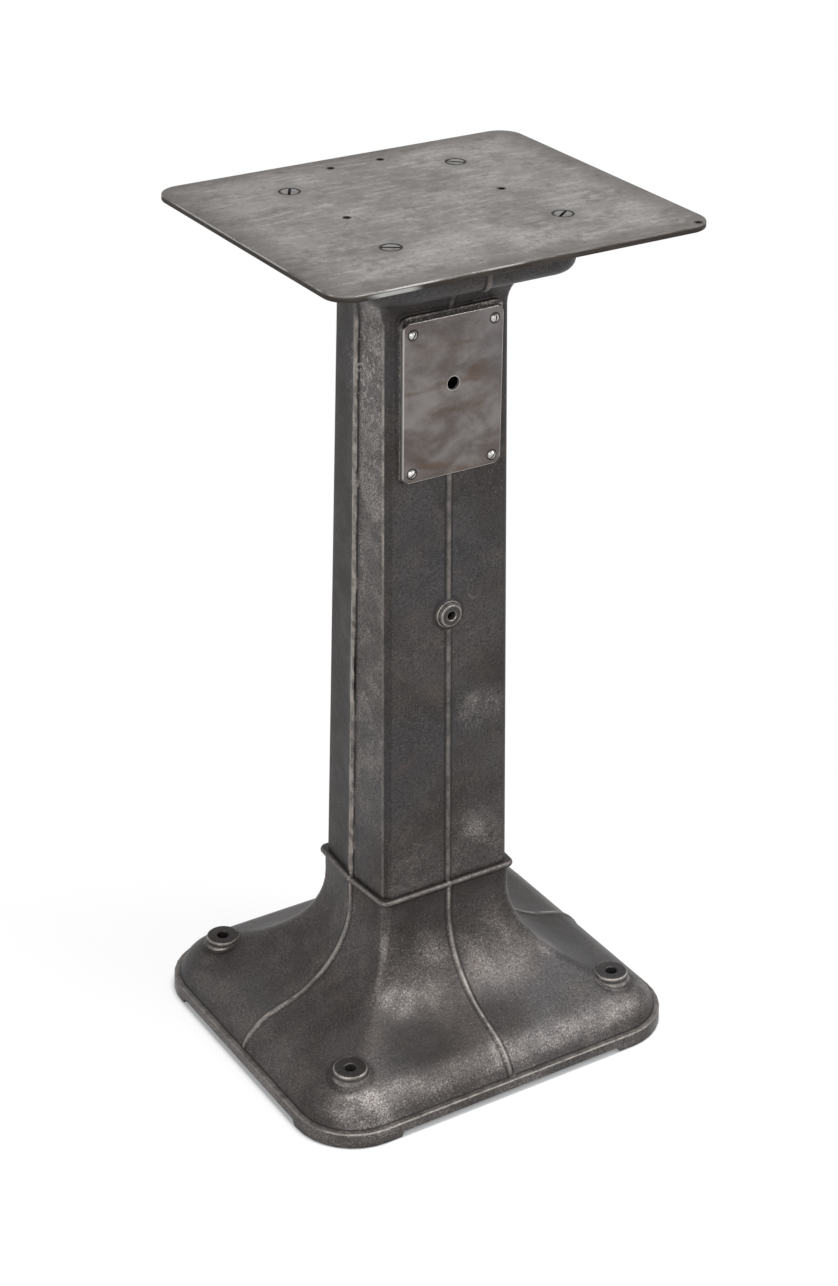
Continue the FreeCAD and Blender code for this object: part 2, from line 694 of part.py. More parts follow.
def make_front_boss(body):
    """The round drilled boss on the front bead, with a low collar round its foot."""
    collar = ("BossCollar", "boss_collar_radius", "boss_collar_proud")
    for name, radius, proud in (collar, ("Boss", "boss_radius", "boss_proud")):
        outline = new_sketch(body, f"{name}Outline", "XZ_Plane", f"({BOSS_SEAT} + {cell(proud)})")
        draw_circle(outline, "0", BOSS_HEIGHT, cell(radius))
        pad(body, name, outline, f"{cell(proud)} + {cell('column_wall')} / 2", reverse=True)


def make_cover_frame(body):
    """The raised frame that the cover plate is screwed to, faced flat, and its window."""
    half_width = f"({cell('cover_width')} / 2 + {cell('frame_margin')})"
    low = f"({COVER_CENTRE} - {cell('cover_height')} / 2 - {cell('frame_margin')})"
    frame = new_sketch(body, "FrameOutline", "XZ_Plane", FRAME_FACE)
    draw_rounded_rectangle(
        frame, f"-{half_width}", half_width, low, FRAME_TOP, cell("cover_corner_radius"))
    root = f"{FRAME_FACE} - {cell('column_front_head')} + {cell('root_depth')}"
    pad(body, "Frame", frame, root, reverse=True)
    facing = new_sketch(body, "FacingOutline", "XZ_Plane", FRAME_FACE)
    draw_rounded_rectangle(
        facing, f"-{half_width}", half_width, low, FRAME_TOP, cell("cover_corner_radius"))
    pocket(body, "Facing", facing, cell("cover_thickness"), reverse=True)


def hollow_column(body):
    """The core of the casting: the shaft's hollow, the pan's hollow and the window."""
    wall, corner = cell("column_wall"), cell("cavity_corner_radius")
    floor = f"({COLUMN_FOOT} + {cell('joint_flange')})"

    def inside(foot, head, height):
        return f"({column_size(foot, head, height)} - {wall})"

    levels = []
    for height in (floor, COVE_START):
        ridge = inside("column_ridge_foot", "column_ridge_head", height)
        front = inside("column_front_foot", "column_front_head", height)
        levels.append((height, ridge, front, cell("column_ridge"), corner))
    loft(body, "ShaftHollow", levels, kind="PartDesign::SubtractiveLoft")
    loft(body, "PanHollow", pan_levels(
        wall, corner, f"({cell('pan_corner_radius')} - {wall})",
        f"({PAN_TOP} - {cell('pan_top_thickness')})"), kind="PartDesign::SubtractiveLoft")
    window = new_sketch(body, "WindowOutline", "XZ_Plane", FRAME_FACE)
    half_width, half_height = f"({cell('window_width')} / 2)", f"({cell('window_height')} / 2)"
    middle = COVER_CENTRE
    draw_rounded_rectangle(
        window, f"-{half_width}", half_width, f"({middle} - {half_height})",
        f"({middle} + {half_height})", cell("window_radius"))
    depth = f"{FRAME_FACE} - {cell('column_front_head')} + 2 * {wall}"
    pocket(body, "Window", window, depth)


# ---------------------------------------------------------------- plates
def make_top_plate():
    """The flat steel work plate, countersunk for its four screws and drilled for fixings."""
    body = new_body("top_plate")
    across, forward = cell("plate_across"), cell("plate_forward")
    outline = new_sketch(body, "PlateOutline", "XY_Plane", PAN_TOP)
    half_length, half_depth = f"({cell('plate_length')} / 2)", f"({cell('plate_depth')} / 2)"
    draw_rounded_rectangle(
        outline, f"({across} - {half_length})", f"({across} + {half_length})",
        f"(-{half_depth} - {forward})", f"({half_depth} - {forward})", cell("plate_corner_radius"))
    pad(body, "Plate", outline, cell("plate_thickness"))
    top = lies_at(cell("stand_height"))
    bottom = lies_at(PAN_TOP)
    round_edges(body, "PlateEdge", cell("plate_edge_radius"), lambda edge: top(edge) or bottom(edge))

    for number, (screw_x, screw_y) in enumerate(PLATE_SCREW_PLACES):
        sink = body.newObject("PartDesign::SubtractiveCone", f"Countersink{number + 1}")
        sink.AttachmentSupport = [(origin_plane(body, "XY_Plane"), "")]
        sink.MapMode = "FlatFace"
        height = plate_screw_head_height()
        for axis, place in (("x", screw_x), ("y", screw_y), ("z", f"{cell('stand_height')} - {height}")):
            sink.setExpression(f"AttachmentOffset.Base.{axis}", place)
        sink.setExpression("Radius1", f"{cell('plate_screw_shank')} / 2 + {cell('head_gap')}")
        sink.setExpression("Radius2", f"{cell('plate_screw_head')} / 2 + {cell('head_gap')}")
        sink.setExpression("Height", height)
    round_holes(
        body, "ScrewHoles", "XY_Plane", cell("stand_height"), PLATE_SCREW_PLACES,
        f"{cell('plate_screw_shank')} / 2 + {cell('head_gap')}", cell("plate_thickness"))
    half_spacing, half_rear = f"({cell('fixing_hole_spacing')} / 2)", f"({cell('rear_hole_spacing')} / 2)"
    shift, back = cell("rear_hole_shift"), cell("rear_hole_back")
    fixings = [
        (f"({across} - {half_spacing})", "0"), (f"({across} + {half_spacing})", "0"),
        (f"({across} + {shift} - {half_rear})", back), (f"({across} + {shift} + {half_rear})", back)]
    round_holes(
        body, "FixingHoles", "XY_Plane", cell("stand_height"), fixings,
        f"{cell('fixing_hole')} / 2", cell("plate_thickness"))
    round_holes(
        body, "CornerHole", "XY_Plane", cell("stand_height"),
        [(f"({across} + {half_length} - {cell('corner_hole_inset_x')})",
          f"({cell('corner_hole_inset_y')} - {half_depth} - {forward})")],
        f"{cell('corner_hole')} / 2", cell("plate_thickness"))
    return body


def make_cover_plate():
    """The polished cover over the window, with a cable hole above its middle."""
    body = new_body("cover_plate")
    outline = new_sketch(body, "CoverOutline", "XZ_Plane", COVER_FACE)
    half_width, half_height = f"({cell('cover_width')} / 2)", f"({cell('cover_height')} / 2)"
    middle = COVER_CENTRE
    draw_rounded_rectangle(
        outline, f"-{half_width}", half_width, f"({middle} - {half_height})",
        f"({middle} + {half_height})", cell("cover_corner_radius"))
    pad(body, "Cover", outline, cell("cover_thickness"), reverse=True)
    face = -value(COVER_FACE)

    def on_face(edge):
        box = edge.BoundBox
        return abs(box.YMin - face) < 0.001 and abs(box.YMax - face) < 0.001

    round_edges(body, "CoverEdge", cell("cover_edge_radius"), on_face)
    round_holes(
        body, "CoverScrewHoles", "XZ_Plane", COVER_FACE, COVER_SCREW_PLACES,
        f"{cell('cover_screw_shank')} / 2 + {cell('head_gap')}", cell("cover_thickness"))
    round_holes(
        body, "CableHole", "XZ_Plane", COVER_FACE,
        [("0", f"({middle} + {cell('cover_hole_rise')})")],
        f"{cell('cover_hole')} / 2", cell("cover_thickness"))
    return body


# ---------------------------------------------------------------- fasteners
def plate_screw_head_height():
    """The height of the screw's 90 degree cone."""
    return f"(({cell('plate_screw_head')} - {cell('plate_screw_shank')}) / 2)"


def cut_slot(body, width, depth, top, head):
    """The screwdriver slot across a screw's head."""
    slot = new_sketch(body, "SlotOutline", "XY_Plane", top)
    half = f"({cell(width)} / 2)"
    reach = f"({cell(head)} / 2 + {cell('cut_overrun')})"
    draw_path(slot, [
        (f"-{reach}", f"-{half}"), (reach, f"-{half}"), (reach, half), (f"-{reach}", half)])
    pocket(body, "Slot", slot, cell(depth))


def set_place(body, across, depth, height, rotation=None):
    """Stand a fastener at its place; its own origin is the middle of its seat."""
    body.setExpression("Placement.Base.x", across)
    body.setExpression("Placement.Base.y", depth)
    body.setExpression("Placement.Base.z", height)
    if rotation:
        body.Placement.Rotation = rotation


def make_plate_screw(number, place, turn):
    """A slotted countersunk screw, flush with the plate's top."""
    body = new_body(f"plate_screw_{number}")
    head, shank = f"({cell('plate_screw_head')} / 2)", f"({cell('plate_screw_shank')} / 2)"
    cone = plate_screw_head_height()
    profile = new_sketch(body, "ScrewProfile", "XZ_Plane")
    draw_path(profile, [
        ("0", f"-{cell('plate_screw_length')}"), (shank, f"-{cell('plate_screw_length')}"),
        (shank, f"-{cone}"), (head, "0"), ("0", "0")])
    revolve(body, "Screw", profile)
    cut_slot(body, "plate_screw_slot", "plate_screw_slot_depth", "0", "plate_screw_head")
    rotation = FreeCAD.Rotation(FreeCAD.Vector(0, 0, 1), turn)
    set_place(body, place[0], place[1], cell("stand_height"), rotation)
    return body


def make_cover_screw(number, place, turn):
    """A slotted round-head screw that holds the cover plate on its frame."""
    body = new_body(f"cover_screw_{number}")
    head, shank = f"({cell('cover_screw_head')} / 2)", f"({cell('cover_screw_shank')} / 2)"
    rise = cell("cover_screw_head_height")
    dome = f"(({head}^2 + {rise}^2) / (2 * {rise}))"
    profile = new_sketch(body, "ScrewProfile", "XZ_Plane")
    draw_path(profile, [
        ("0", f"-{cell('cover_screw_length')}"), (shank, f"-{cell('cover_screw_length')}"),
        (shank, "0"), (head, "0"), ("0", rise)],
        {3: (("0", f"({rise} - {dome})"), dome)})
    revolve(body, "Screw", profile)
    cut_slot(body, "cover_screw_slot", "cover_screw_slot_depth", rise, "cover_screw_head")
    upright = FreeCAD.Rotation(FreeCAD.Vector(1, 0, 0), 90)
    rotation = upright.multiply(FreeCAD.Rotation(FreeCAD.Vector(0, 0, 1), turn))
    set_place(
        body, place[0], f"-{COVER_FACE}", place[1], rotation)
    return body


def make_joint_bolt(number, place):
    """A hexagon bolt, head down in the base's hollow, that holds the column on the base."""
    body = new_body(f"joint_bolt_{number}")
    corner = f"({cell('bolt_flats')} / (2 * cos(30 deg)))"
    head = new_sketch(body, "HeadOutline", "XY_Plane")
    draw_path(head, [
        (f"({corner} * cos({60 * side} deg))", f"({corner} * sin({60 * side} deg))")
        for side in range(6)])
    pad(body, "Head", head, cell("bolt_head_height"), reverse=True)
    shank = new_sketch(body, "ShankOutline", "XY_Plane")
    draw_circle(shank, "0", "0", f"{cell('bolt_shank')} / 2")
    pad(body, "Shank", shank, cell("bolt_length"))
    seat = f"({NECK_TOP} - {cell('joint_flange')} - {cell('washer_thickness')})"
    set_place(body, place[0], place[1], seat)
    return body


def make_joint_washer(number, place):
    """The plain washer under a joint bolt's head."""
    body = new_body(f"joint_washer_{number}")
    ring = new_sketch(body, "WasherOutline", "XY_Plane")
    draw_circle(ring, "0", "0", cell("washer_radius"))
    draw_circle(ring, "0", "0", f"({cell('bolt_shank')} + {cell('bolt_gap')}) / 2")
    pad(body, "Washer", ring, cell("washer_thickness"), reverse=True)
    set_place(body, place[0], place[1], f"({NECK_TOP} - {cell('joint_flange')})")
    return body


# ---------------------------------------------------------------- assembly
PLATE_SCREW_TURNS = [58, -32, -45, 36]
COVER_SCREW_TURNS = [65, 40, 80, 50]

parts = [make_base_casting(), make_column_casting(), make_top_plate(), make_cover_plate()]
for index in range(4):
    parts.append(make_plate_screw(index + 1, PLATE_SCREW_PLACES[index], PLATE_SCREW_TURNS[index]))
    parts.append(make_cover_screw(index + 1, COVER_SCREW_PLACES[index], COVER_SCREW_TURNS[index]))
    parts.append(make_joint_bolt(index + 1, BOLT_PLACES[index]))
    parts.append(make_joint_washer(index + 1, BOLT_PLACES[index]))
doc.recompute()

# ---------------------------------------------------------------- checks and output
for item in doc.Objects:
    if "Invalid" in item.State or "Error" in item.State:
        raise RuntimeError(f"{item.Label} is not valid: {item.State}")
for item in doc.Objects:
    if item.TypeId == "PartDesign::Pocket" and item.Shape.Volume >= item.BaseFeature.Shape.Volume:
        raise RuntimeError(f"{item.Label} cuts nothing")
for part in parts:
    shape = part.Shape
    if shape.isNull() or not shape.isValid() or len(shape.Solids) != 1:
        raise RuntimeError(f"{part.Label} has no single valid solid")
for part in parts:
    part.Shape.exportStep(f"parts/{part.Label}.step")
    box = part.Shape.BoundBox
    print(
        f"{part.Label}: {part.Shape.Volume / 1000:.1f} cm3,"
        f" x {box.XMin:.1f}..{box.XMax:.1f}, y {box.YMin:.1f}..{box.YMax:.1f},"
        f" z {box.ZMin:.1f}..{box.ZMax:.1f}")
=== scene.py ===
"""Cast iron machine pedestal: smooth castings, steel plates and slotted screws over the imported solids.

Metres, +Z up, +X along the work plate's long side, -Y towards the cover plate.
"""
import math
import random

import bmesh
import bpy
from mathutils import Matrix, Vector


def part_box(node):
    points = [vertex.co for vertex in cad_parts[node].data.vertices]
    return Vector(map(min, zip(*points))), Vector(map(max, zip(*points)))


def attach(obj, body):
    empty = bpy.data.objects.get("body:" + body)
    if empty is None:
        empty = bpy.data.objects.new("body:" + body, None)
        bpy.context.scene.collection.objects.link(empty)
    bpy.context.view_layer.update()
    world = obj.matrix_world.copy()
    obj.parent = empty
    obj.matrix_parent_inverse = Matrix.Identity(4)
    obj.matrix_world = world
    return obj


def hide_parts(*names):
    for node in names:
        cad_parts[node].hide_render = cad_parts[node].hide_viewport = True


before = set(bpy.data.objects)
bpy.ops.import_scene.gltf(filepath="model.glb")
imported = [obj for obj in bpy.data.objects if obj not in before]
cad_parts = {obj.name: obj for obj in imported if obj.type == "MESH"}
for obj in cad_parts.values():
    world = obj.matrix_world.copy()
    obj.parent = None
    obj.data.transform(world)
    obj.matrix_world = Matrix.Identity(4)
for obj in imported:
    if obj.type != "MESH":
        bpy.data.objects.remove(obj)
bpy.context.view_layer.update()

# ---------------------------------------------------------------- camera
CAMERA_PLACE = Vector((-1.0612, -1.6851, 1.4527))
CAMERA_AZIMUTH = math.radians(-32.2)
CAMERA_ELEVATION = math.radians(28.0)
CAMERA_ROLL = math.radians(0.6)
CAMERA_LENS = 70.35
CAMERA_SHIFT = (0.0005, -0.0026)


def add_camera():
    """The camera, above and to the left of the cover plate."""
    back = Vector((
        math.sin(CAMERA_AZIMUTH) * math.cos(CAMERA_ELEVATION),
        -math.cos(CAMERA_AZIMUTH) * math.cos(CAMERA_ELEVATION),
        math.sin(CAMERA_ELEVATION)))
    level_right = Vector((math.cos(CAMERA_AZIMUTH), math.sin(CAMERA_AZIMUTH), 0))
    level_up = back.cross(level_right)
    right = level_right * math.cos(CAMERA_ROLL) + level_up * math.sin(CAMERA_ROLL)
    up = back.cross(right)
    bpy.ops.object.camera_add(location=CAMERA_PLACE)
    camera = bpy.context.object
    camera.rotation_euler = Matrix((right, up, back)).transposed().to_euler()
    camera.data.lens = CAMERA_LENS
    camera.data.shift_x, camera.data.shift_y = CAMERA_SHIFT
    bpy.context.scene.camera = camera


# ---------------------------------------------------------------- sizes, from the frame and in metres
_, base_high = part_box("base_casting")
_, column_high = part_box("column_casting")
plate_low, plate_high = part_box("top_plate")
cover_low, cover_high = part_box("cover_plate")

TINY = 1e-5
OVERRUN = 0.001
HOLE_RELIEF = 0.0002
POLE = 0.00005

NECK_TOP = base_high.z
BASE_HALF_X, BASE_HALF_Y = base_high.x, base_high.y
BASE_CORNER = 0.060
RIM_HEIGHT = 0.0155
RIM_EDGE = 0.002
RIM_CHAMFER = 0.0008
LEDGE = 0.005
LEDGE_FILLET = 0.0012
RELIEF_HEIGHT = 0.006
RELIEF_HALF_X, RELIEF_HALF_Y = 0.118, 0.106
SHOULDER_RADIUS = 0.049
SHOULDER_TURN = math.radians(72)
SHOULDER_FOOT_TURN = math.radians(66)
DECK_SLOPE = math.radians(21.3)
FLARE_RADIUS = 0.098
CORNER_GROWTH = 3.7
RING_RADIUS = 0.0032
RING_CORNER = 0.004
BASE_RIB_SHIFT = -0.0028
BASE_WALL = 0.009
FLANGE = 0.014
PASSAGE_HALF_X, PASSAGE_HALF_Y, PASSAGE_CORNER = 0.032, 0.022, 0.010
ANCHOR_X, ANCHOR_Y = 0.144, 0.1215
ANCHOR_TOP = 0.0538
ANCHOR_RADIUS = 0.0158
ANCHOR_HOLE = 0.0055
ANCHOR_HOLE_DEPTH = 0.013
ANCHOR_EDGE = 0.0016
ANCHOR_CHAMFER = 0.0007
ANCHOR_FEET = ((0.0002, 0.0026), (0.0008, 0.0012), (0.0020, 0.0004), (0.0040, -0.0002))
FOOT_CLEARANCE = 0.006

FOOT_RIDGE, HEAD_RIDGE = 0.071, 0.0628
FOOT_FRONT, HEAD_FRONT = 0.0545, 0.0425
NECK_STEP = 0.002
FOOT_BULGE, HEAD_BULGE = 0.004, 0.0017
COLUMN_CORNER = 0.008
COLUMN_WALL = 0.008
CAVITY_CORNER = 0.004
PAN_TOP = column_high.z
PAN_HALF_X, PAN_HALF_Y = 0.100, 0.1015
PAN_CORNER = 0.032
PAN_HEIGHT = 0.043
PAN_COVE = 0.036
PAN_EDGE = 0.013
PAN_SLOPE = math.radians(12)
PAN_SKIN = 0.012
PAN_OPENING_HALF_X, PAN_OPENING_HALF_Y = 0.055, 0.045
COVE_START = PAN_TOP - PAN_HEIGHT - PAN_COVE

SCREW_X, SCREW_Y = 0.082, 0.081
SCREW_MIDDLE = (0.0024, 0.001)
SCREW_HOLE, SCREW_TAP = 0.00425, 0.0041
SCREW_SHANK, SCREW_LENGTH = 0.004, 0.017
SCREW_HEAD, SCREW_HEAD_DEPTH = 0.00755, 0.00375
SCREW_SINK = 0.0078
COVER_SCREW_X, COVER_SCREW_Z = 0.040, 0.062
COVER_SCREW_HOLE = 0.00225
COVER_SCREW_SHANK, COVER_SCREW_LENGTH = 0.002, 0.009
COVER_SCREW_HEAD, COVER_SCREW_TOP = 0.004, 0.0026
BOLT_X, BOLT_Y = 0.046, 0.033
BOLT_HOLE = 0.00525

BOSS_HEIGHT = PAN_TOP - 0.352
BOSS_RADIUS = 0.0108
BOSS_EDGE = 0.0014
BOSS_COLLAR = 0.013
BOSS_COLLAR_PROUD = 0.0026
BOSS_PROUD = 0.006
BOSS_HOLE = 0.00425
BOSS_CHAMFER = 0.0006
BOSS_FEET = ((0.0003, 0.0007), (0.0012, 0.0002), (0.0026, -0.0002))

PLATE_MIDDLE = (plate_low + plate_high) / 2
PLATE_CORNER, PLATE_EDGE = 0.022, 0.0015
FIXING_HOLE = 0.0025
FIXING_HOLES = tuple(
    (PLATE_MIDDLE.x + across, back)
    for across, back in ((-0.075, 0), (0.075, 0), (-0.02045, 0.120), (0.02905, 0.120)))
CORNER_HOLE = 0.002
CORNER_HOLE_PLACE = (plate_high.x - 0.014, plate_low.y + 0.007)
PLUG_PLACES = ((0.0373, -0.0329), (0.0441, -0.0574), (0.1694, -0.0106))

COVER_CENTRE = PAN_TOP - 0.147
COVER_FACE = -cover_low.y
COVER_THICKNESS = 0.003
COVER_TOP_MARGIN = 0.002
COVER_CORNER, COVER_EDGE = 0.007, 0.0008
COVER_HOLE, COVER_HOLE_RISE = 0.006, 0.012
FRAME_FACE = COVER_FACE - COVER_THICKNESS
FRAME_HALF_X = 0.050
FRAME_TOP, FRAME_BOTTOM = COVER_CENTRE + 0.077, COVER_CENTRE - 0.0715
FRAME_CORNER, FRAME_EDGE = 0.007, 0.0009
FRAME_DEPTH = 0.006
FRAME_FEET = ((0.0002, 0.0006), (0.0009, 0.0002), (0.0022, -0.0002))
WINDOW_HALF_X, WINDOW_HALF_Z, WINDOW_CORNER = 0.033, 0.054, 0.010
WINDOW_DEPTH = 0.02

SHAFT_LEVELS = 72
RAGGED_FROM = 4
RAGGED_STEP, RAGGED_MOST = 0.0006, 0.0009
RIB_REACH = 0.0045
RIB_STEPS = ((0.0034, 0.0003), (0.0023, 0.0008), (0.0012, 0.0006), (0.0001, 0.0003))
CORNER_SEGMENTS = 8
RIB_SEGMENTS = 8


# ---------------------------------------------------------------- modelling helpers
def start_piece(name):
    """An empty mesh object, open in edit mode."""
    bpy.ops.object.select_all(action="DESELECT")
    bpy.ops.object.add(type="MESH", enter_editmode=True)
    piece = bpy.context.object
    piece.name = piece.data.name = name
    bpy.ops.mesh.select_mode(type="VERT")
    return piece


def make_active(piece):
    """Leave edit mode and make one object the only selected one."""
    if bpy.context.mode != "OBJECT":
        bpy.ops.object.mode_set(mode="OBJECT")
    bpy.ops.object.select_all(action="DESELECT")
    piece.select_set(True)
    bpy.context.view_layer.objects.active = piece


def choose_points(piece, test):
    """In edit mode, select the visible points whose place passes a test."""
    mesh = bmesh.from_edit_mesh(piece.data)
    for point in mesh.verts:
        if not point.hide:
            point.select_set(bool(test(point.co)))
    mesh.select_flush_mode()
    bmesh.update_edit_mesh(piece.data)


def choose_edges(piece, test):
    """In edit mode, select the visible edges that pass a test."""
    bpy.ops.mesh.select_all(action="DESELECT")
    mesh = bmesh.from_edit_mesh(piece.data)
    for edge in mesh.edges:
        if not edge.hide and test(edge):
            edge.select_set(True)
    bmesh.update_edit_mesh(piece.data)


def add_block(half_sizes, centre=(0, 0, 0)):
    """A block in edit mode."""
    bpy.ops.mesh.primitive_cube_add(size=2, location=centre)
    bpy.ops.transform.resize(value=half_sizes, center_override=centre)


def round_upright_edges(piece, height, radius, segments):
    """Round those edges of a block that stand taller than a height."""
    choose_edges(piece, lambda edge: abs((edge.verts[0].co - edge.verts[1].co).z) > height)
    bpy.ops.mesh.bevel(offset=radius, segments=segments)


def turn_faces_out():
    """In edit mode, point all faces outwards."""
    bpy.ops.mesh.select_all(action="SELECT")
    bpy.ops.mesh.normals_make_consistent(inside=False)


def close_poles():
    """In edit mode, weld the smallest rings of turned forms into points."""
    bpy.ops.mesh.select_all(action="SELECT")
    bpy.ops.mesh.remove_doubles(threshold=POLE * 2.4)


def add_level(piece, height, ridge, front, bulge, corner, shift=0.0):
    """One closed outline of a casting: flat front and back, sides of two facets, round corners.

    A flat square is cut to its corners and middle points. The side's middle points move out
    to the ridge. Then the corners are rounded and the middle points spread, for the ribs.
    """
    centre = (0, 0, height)
    bulge = max(bulge, TINY)
    bpy.ops.mesh.select_all(action="SELECT")
    bpy.ops.mesh.hide()
    bpy.ops.mesh.primitive_plane_add(size=2, location=centre)
    bpy.ops.transform.resize(value=(ridge - bulge, front, 1), center_override=centre)
    bpy.ops.mesh.delete(type="ONLY_FACE")
    bpy.ops.mesh.select_all(action="SELECT")
    bpy.ops.mesh.subdivide(number_cuts=1)
    choose_points(piece, lambda place: abs(place.y) < TINY)
    bpy.ops.transform.resize(value=(ridge / (ridge - bulge), 1, 1), center_override=centre)
    bpy.ops.transform.translate(value=(0, shift, 0))
    choose_points(piece, lambda place: abs(place.x) > TINY and abs(place.y - shift) > TINY)
    bpy.ops.mesh.bevel(offset=corner, segments=CORNER_SEGMENTS, affect="VERTICES")
    mesh = bmesh.from_edit_mesh(piece.data)
    longest = max(edge.calc_length() for edge in mesh.edges if not edge.hide)
    choose_edges(piece, lambda edge: edge.calc_length() > longest / 4)
    bpy.ops.mesh.subdivide(number_cuts=3)
    choose_points(piece, lambda place: abs(place.x) < TINY or abs(place.y - shift) < TINY)
    bpy.ops.mesh.bevel(offset=min(RIB_REACH, front / 20), segments=RIB_SEGMENTS, affect="VERTICES")


def skin_levels(piece, levels):
    """Draw a closed run of outlines and skin each one to the next, and the last to the first.

    Outlines at one height get flat faces between them, and those come last, because their
    cross edges would get in the way of a bridge.
    """
    for number, level in enumerate(levels, start=1):
        add_level(piece, *level)
        mesh = bmesh.from_edit_mesh(piece.data)
        layer = mesh.verts.layers.int.get("level") or mesh.verts.layers.int.new("level")
        for point in mesh.verts:
            if not point.hide:
                point[layer] = number
        bmesh.update_edit_mesh(piece.data)
    bpy.ops.mesh.reveal(select=False)
    flat_pairs = []
    for number in range(1, len(levels) + 1):
        following = number % len(levels) + 1
        if abs(levels[number - 1][0] - levels[following - 1][0]) < TINY / 10:
            flat_pairs.append((number, following))
            continue
        choose_levels(piece, (number, following))
        bpy.ops.mesh.bridge_edge_loops()
    for pair in flat_pairs:
        choose_levels(piece, pair)
        bpy.ops.mesh.fill()
    turn_faces_out()


def choose_levels(piece, numbers, test=lambda place: True):
    """Select the points of some outlines that pass a test on their place."""
    mesh = bmesh.from_edit_mesh(piece.data)
    layer = mesh.verts.layers.int["level"]
    for point in mesh.verts:
        point.select_set(point[layer] in numbers and bool(test(point.co)))
    mesh.select_flush_mode()
    bmesh.update_edit_mesh(piece.data)


def raise_ribs(piece, numbers, side_shift=0.0, faces=("front", "back", "left", "right")):
    """Push the middle points of the outlines out along their normals, into a rounded rib."""
    across = {
        "front": lambda place: abs(place.x) if place.y < 0 else 1,
        "back": lambda place: abs(place.x) if place.y > 0 else 1,
        "left": lambda place: abs(place.y - side_shift) if place.x < 0 else 1,
        "right": lambda place: abs(place.y - side_shift) if place.x > 0 else 1}
    for face in faces:
        for reach, lift in RIB_STEPS:
            choose_levels(piece, numbers, lambda place: across[face](place) < reach)
            bpy.ops.transform.shrink_fatten(value=lift)


def turn_profile(centre, profile, facets=40):
    """A turned form in edit mode: a ring extruded and resized along (radius, height) steps."""
    (radius, height), *later = profile
    bpy.ops.mesh.primitive_circle_add(
        vertices=facets, radius=radius, location=(centre[0], centre[1], height))
    for next_radius, next_height in later:
        bpy.ops.mesh.extrude_region_move(
            TRANSFORM_OT_translate={"value": (0, 0, next_height - height)})
        scale = next_radius / radius
        bpy.ops.transform.resize(
            value=(scale, scale, 1), center_override=(centre[0], centre[1], next_height))
        radius, height = next_radius, next_height


def name_selected(piece, group_name):
    """Put the selected points into a vertex group of that name."""
    group = piece.vertex_groups.get(group_name) or piece.vertex_groups.new(name=group_name)
    piece.vertex_groups.active_index = group.index
    bpy.ops.object.vertex_group_assign()


def apply_modifier(piece, kind, **settings):
    """Add a modifier with its settings and apply it."""
    make_active(piece)
    modifier = piece.modifiers.new(kind.lower(), kind)
    for name, value in settings.items():
        setattr(modifier, name, value)
    bpy.ops.object.modifier_apply(modifier=modifier.name)


def spread_foot(piece, centre, radius, feet):
    """Extrude a turned form's last ring into its foot's rings, held up clear of the casting."""
    reached = radius
    for step, (out, _) in enumerate(feet):
        scale = (radius + out) / reached
        lift = FOOT_CLEARANCE if step == 0 else 0
        bpy.ops.mesh.extrude_region_move(TRANSFORM_OT_translate={"value": (0, 0, lift)})
        bpy.ops.transform.resize(value=(scale, scale, 1), center_override=(*centre, 0))
        reached = radius + out
        name_selected(piece, f"foot_{step}")


def settle_foot(piece, casting, feet, axis, positive):
    """Lay the rings of a piece's foot on a casting, each at its height above the skin."""
    for step, (_, height) in enumerate(feet):
        apply_modifier(
            piece, "SHRINKWRAP", target=casting, vertex_group=f"foot_{step}", wrap_method="PROJECT",
            wrap_mode="ABOVE_SURFACE", offset=height, use_project_x=False,
            use_project_y=axis == "Y", use_project_z=axis == "Z",
            use_positive_direction=positive, use_negative_direction=not positive)
    piece.vertex_groups.clear()


def close_shell(piece):
    """Bridge a piece's two open rings, its foot and the end of its hole, into a closed shell."""
    make_active(piece)
    bpy.ops.object.mode_set(mode="EDIT")
    choose_edges(piece, lambda edge: edge.is_boundary)
    bpy.ops.mesh.bridge_edge_loops()
    turn_faces_out()
    make_active(piece)


def join_pieces(main, others):
    """Make several objects one object, under the first one's name."""
    make_active(main)
    for other in others:
        other.select_set(True)
    bpy.ops.object.join()
    return main


def cut_with(piece, cutter):
    """Cut one object out of another and delete the cutter."""
    make_active(cutter)
    bpy.ops.object.mode_set(mode="EDIT")
    turn_faces_out()
    apply_modifier(piece, "BOOLEAN", operation="DIFFERENCE", solver="EXACT", object=cutter)
    bpy.data.objects.remove(cutter)


def round_holes(piece, places, radius, low, high, facets=32):
    """Cut upright round holes at several places, from one height to another and a little past."""
    cutter = start_piece("hole_cutter")
    for across, back in places:
        bpy.ops.mesh.primitive_cylinder_add(
            vertices=facets, radius=radius, depth=high - low + 2 * OVERRUN,
            location=(across, back, (low + high) / 2))
    cut_with(piece, cutter)


def finish_piece(piece, material, replaced, smooth=35):
    """Shade, dress and seat a finished piece on the body in place of its solid."""
    make_active(piece)
    bpy.ops.object.transform_apply(location=True, rotation=True, scale=True)
    bpy.ops.object.shade_smooth_by_angle(angle=math.radians(smooth))
    if "level" in piece.data.attributes:
        piece.data.attributes.remove(piece.data.attributes["level"])
    if not piece.data.materials:
        piece.data.materials.append(material)
    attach(piece, "root")
    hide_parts(replaced)


def four_places(half_x, half_y, across=0.0, back=0.0):
    """The places of a rectangular pattern: back left, front left, back right, front right."""
    return [(across + side * half_x, back + depth * half_y) for side in (-1, 1) for depth in (1, -1)]


def steps(start, end, count):
    """Evenly spaced numbers from start to end, both included."""
    return [start + (end - start) * index / count for index in range(count + 1)]


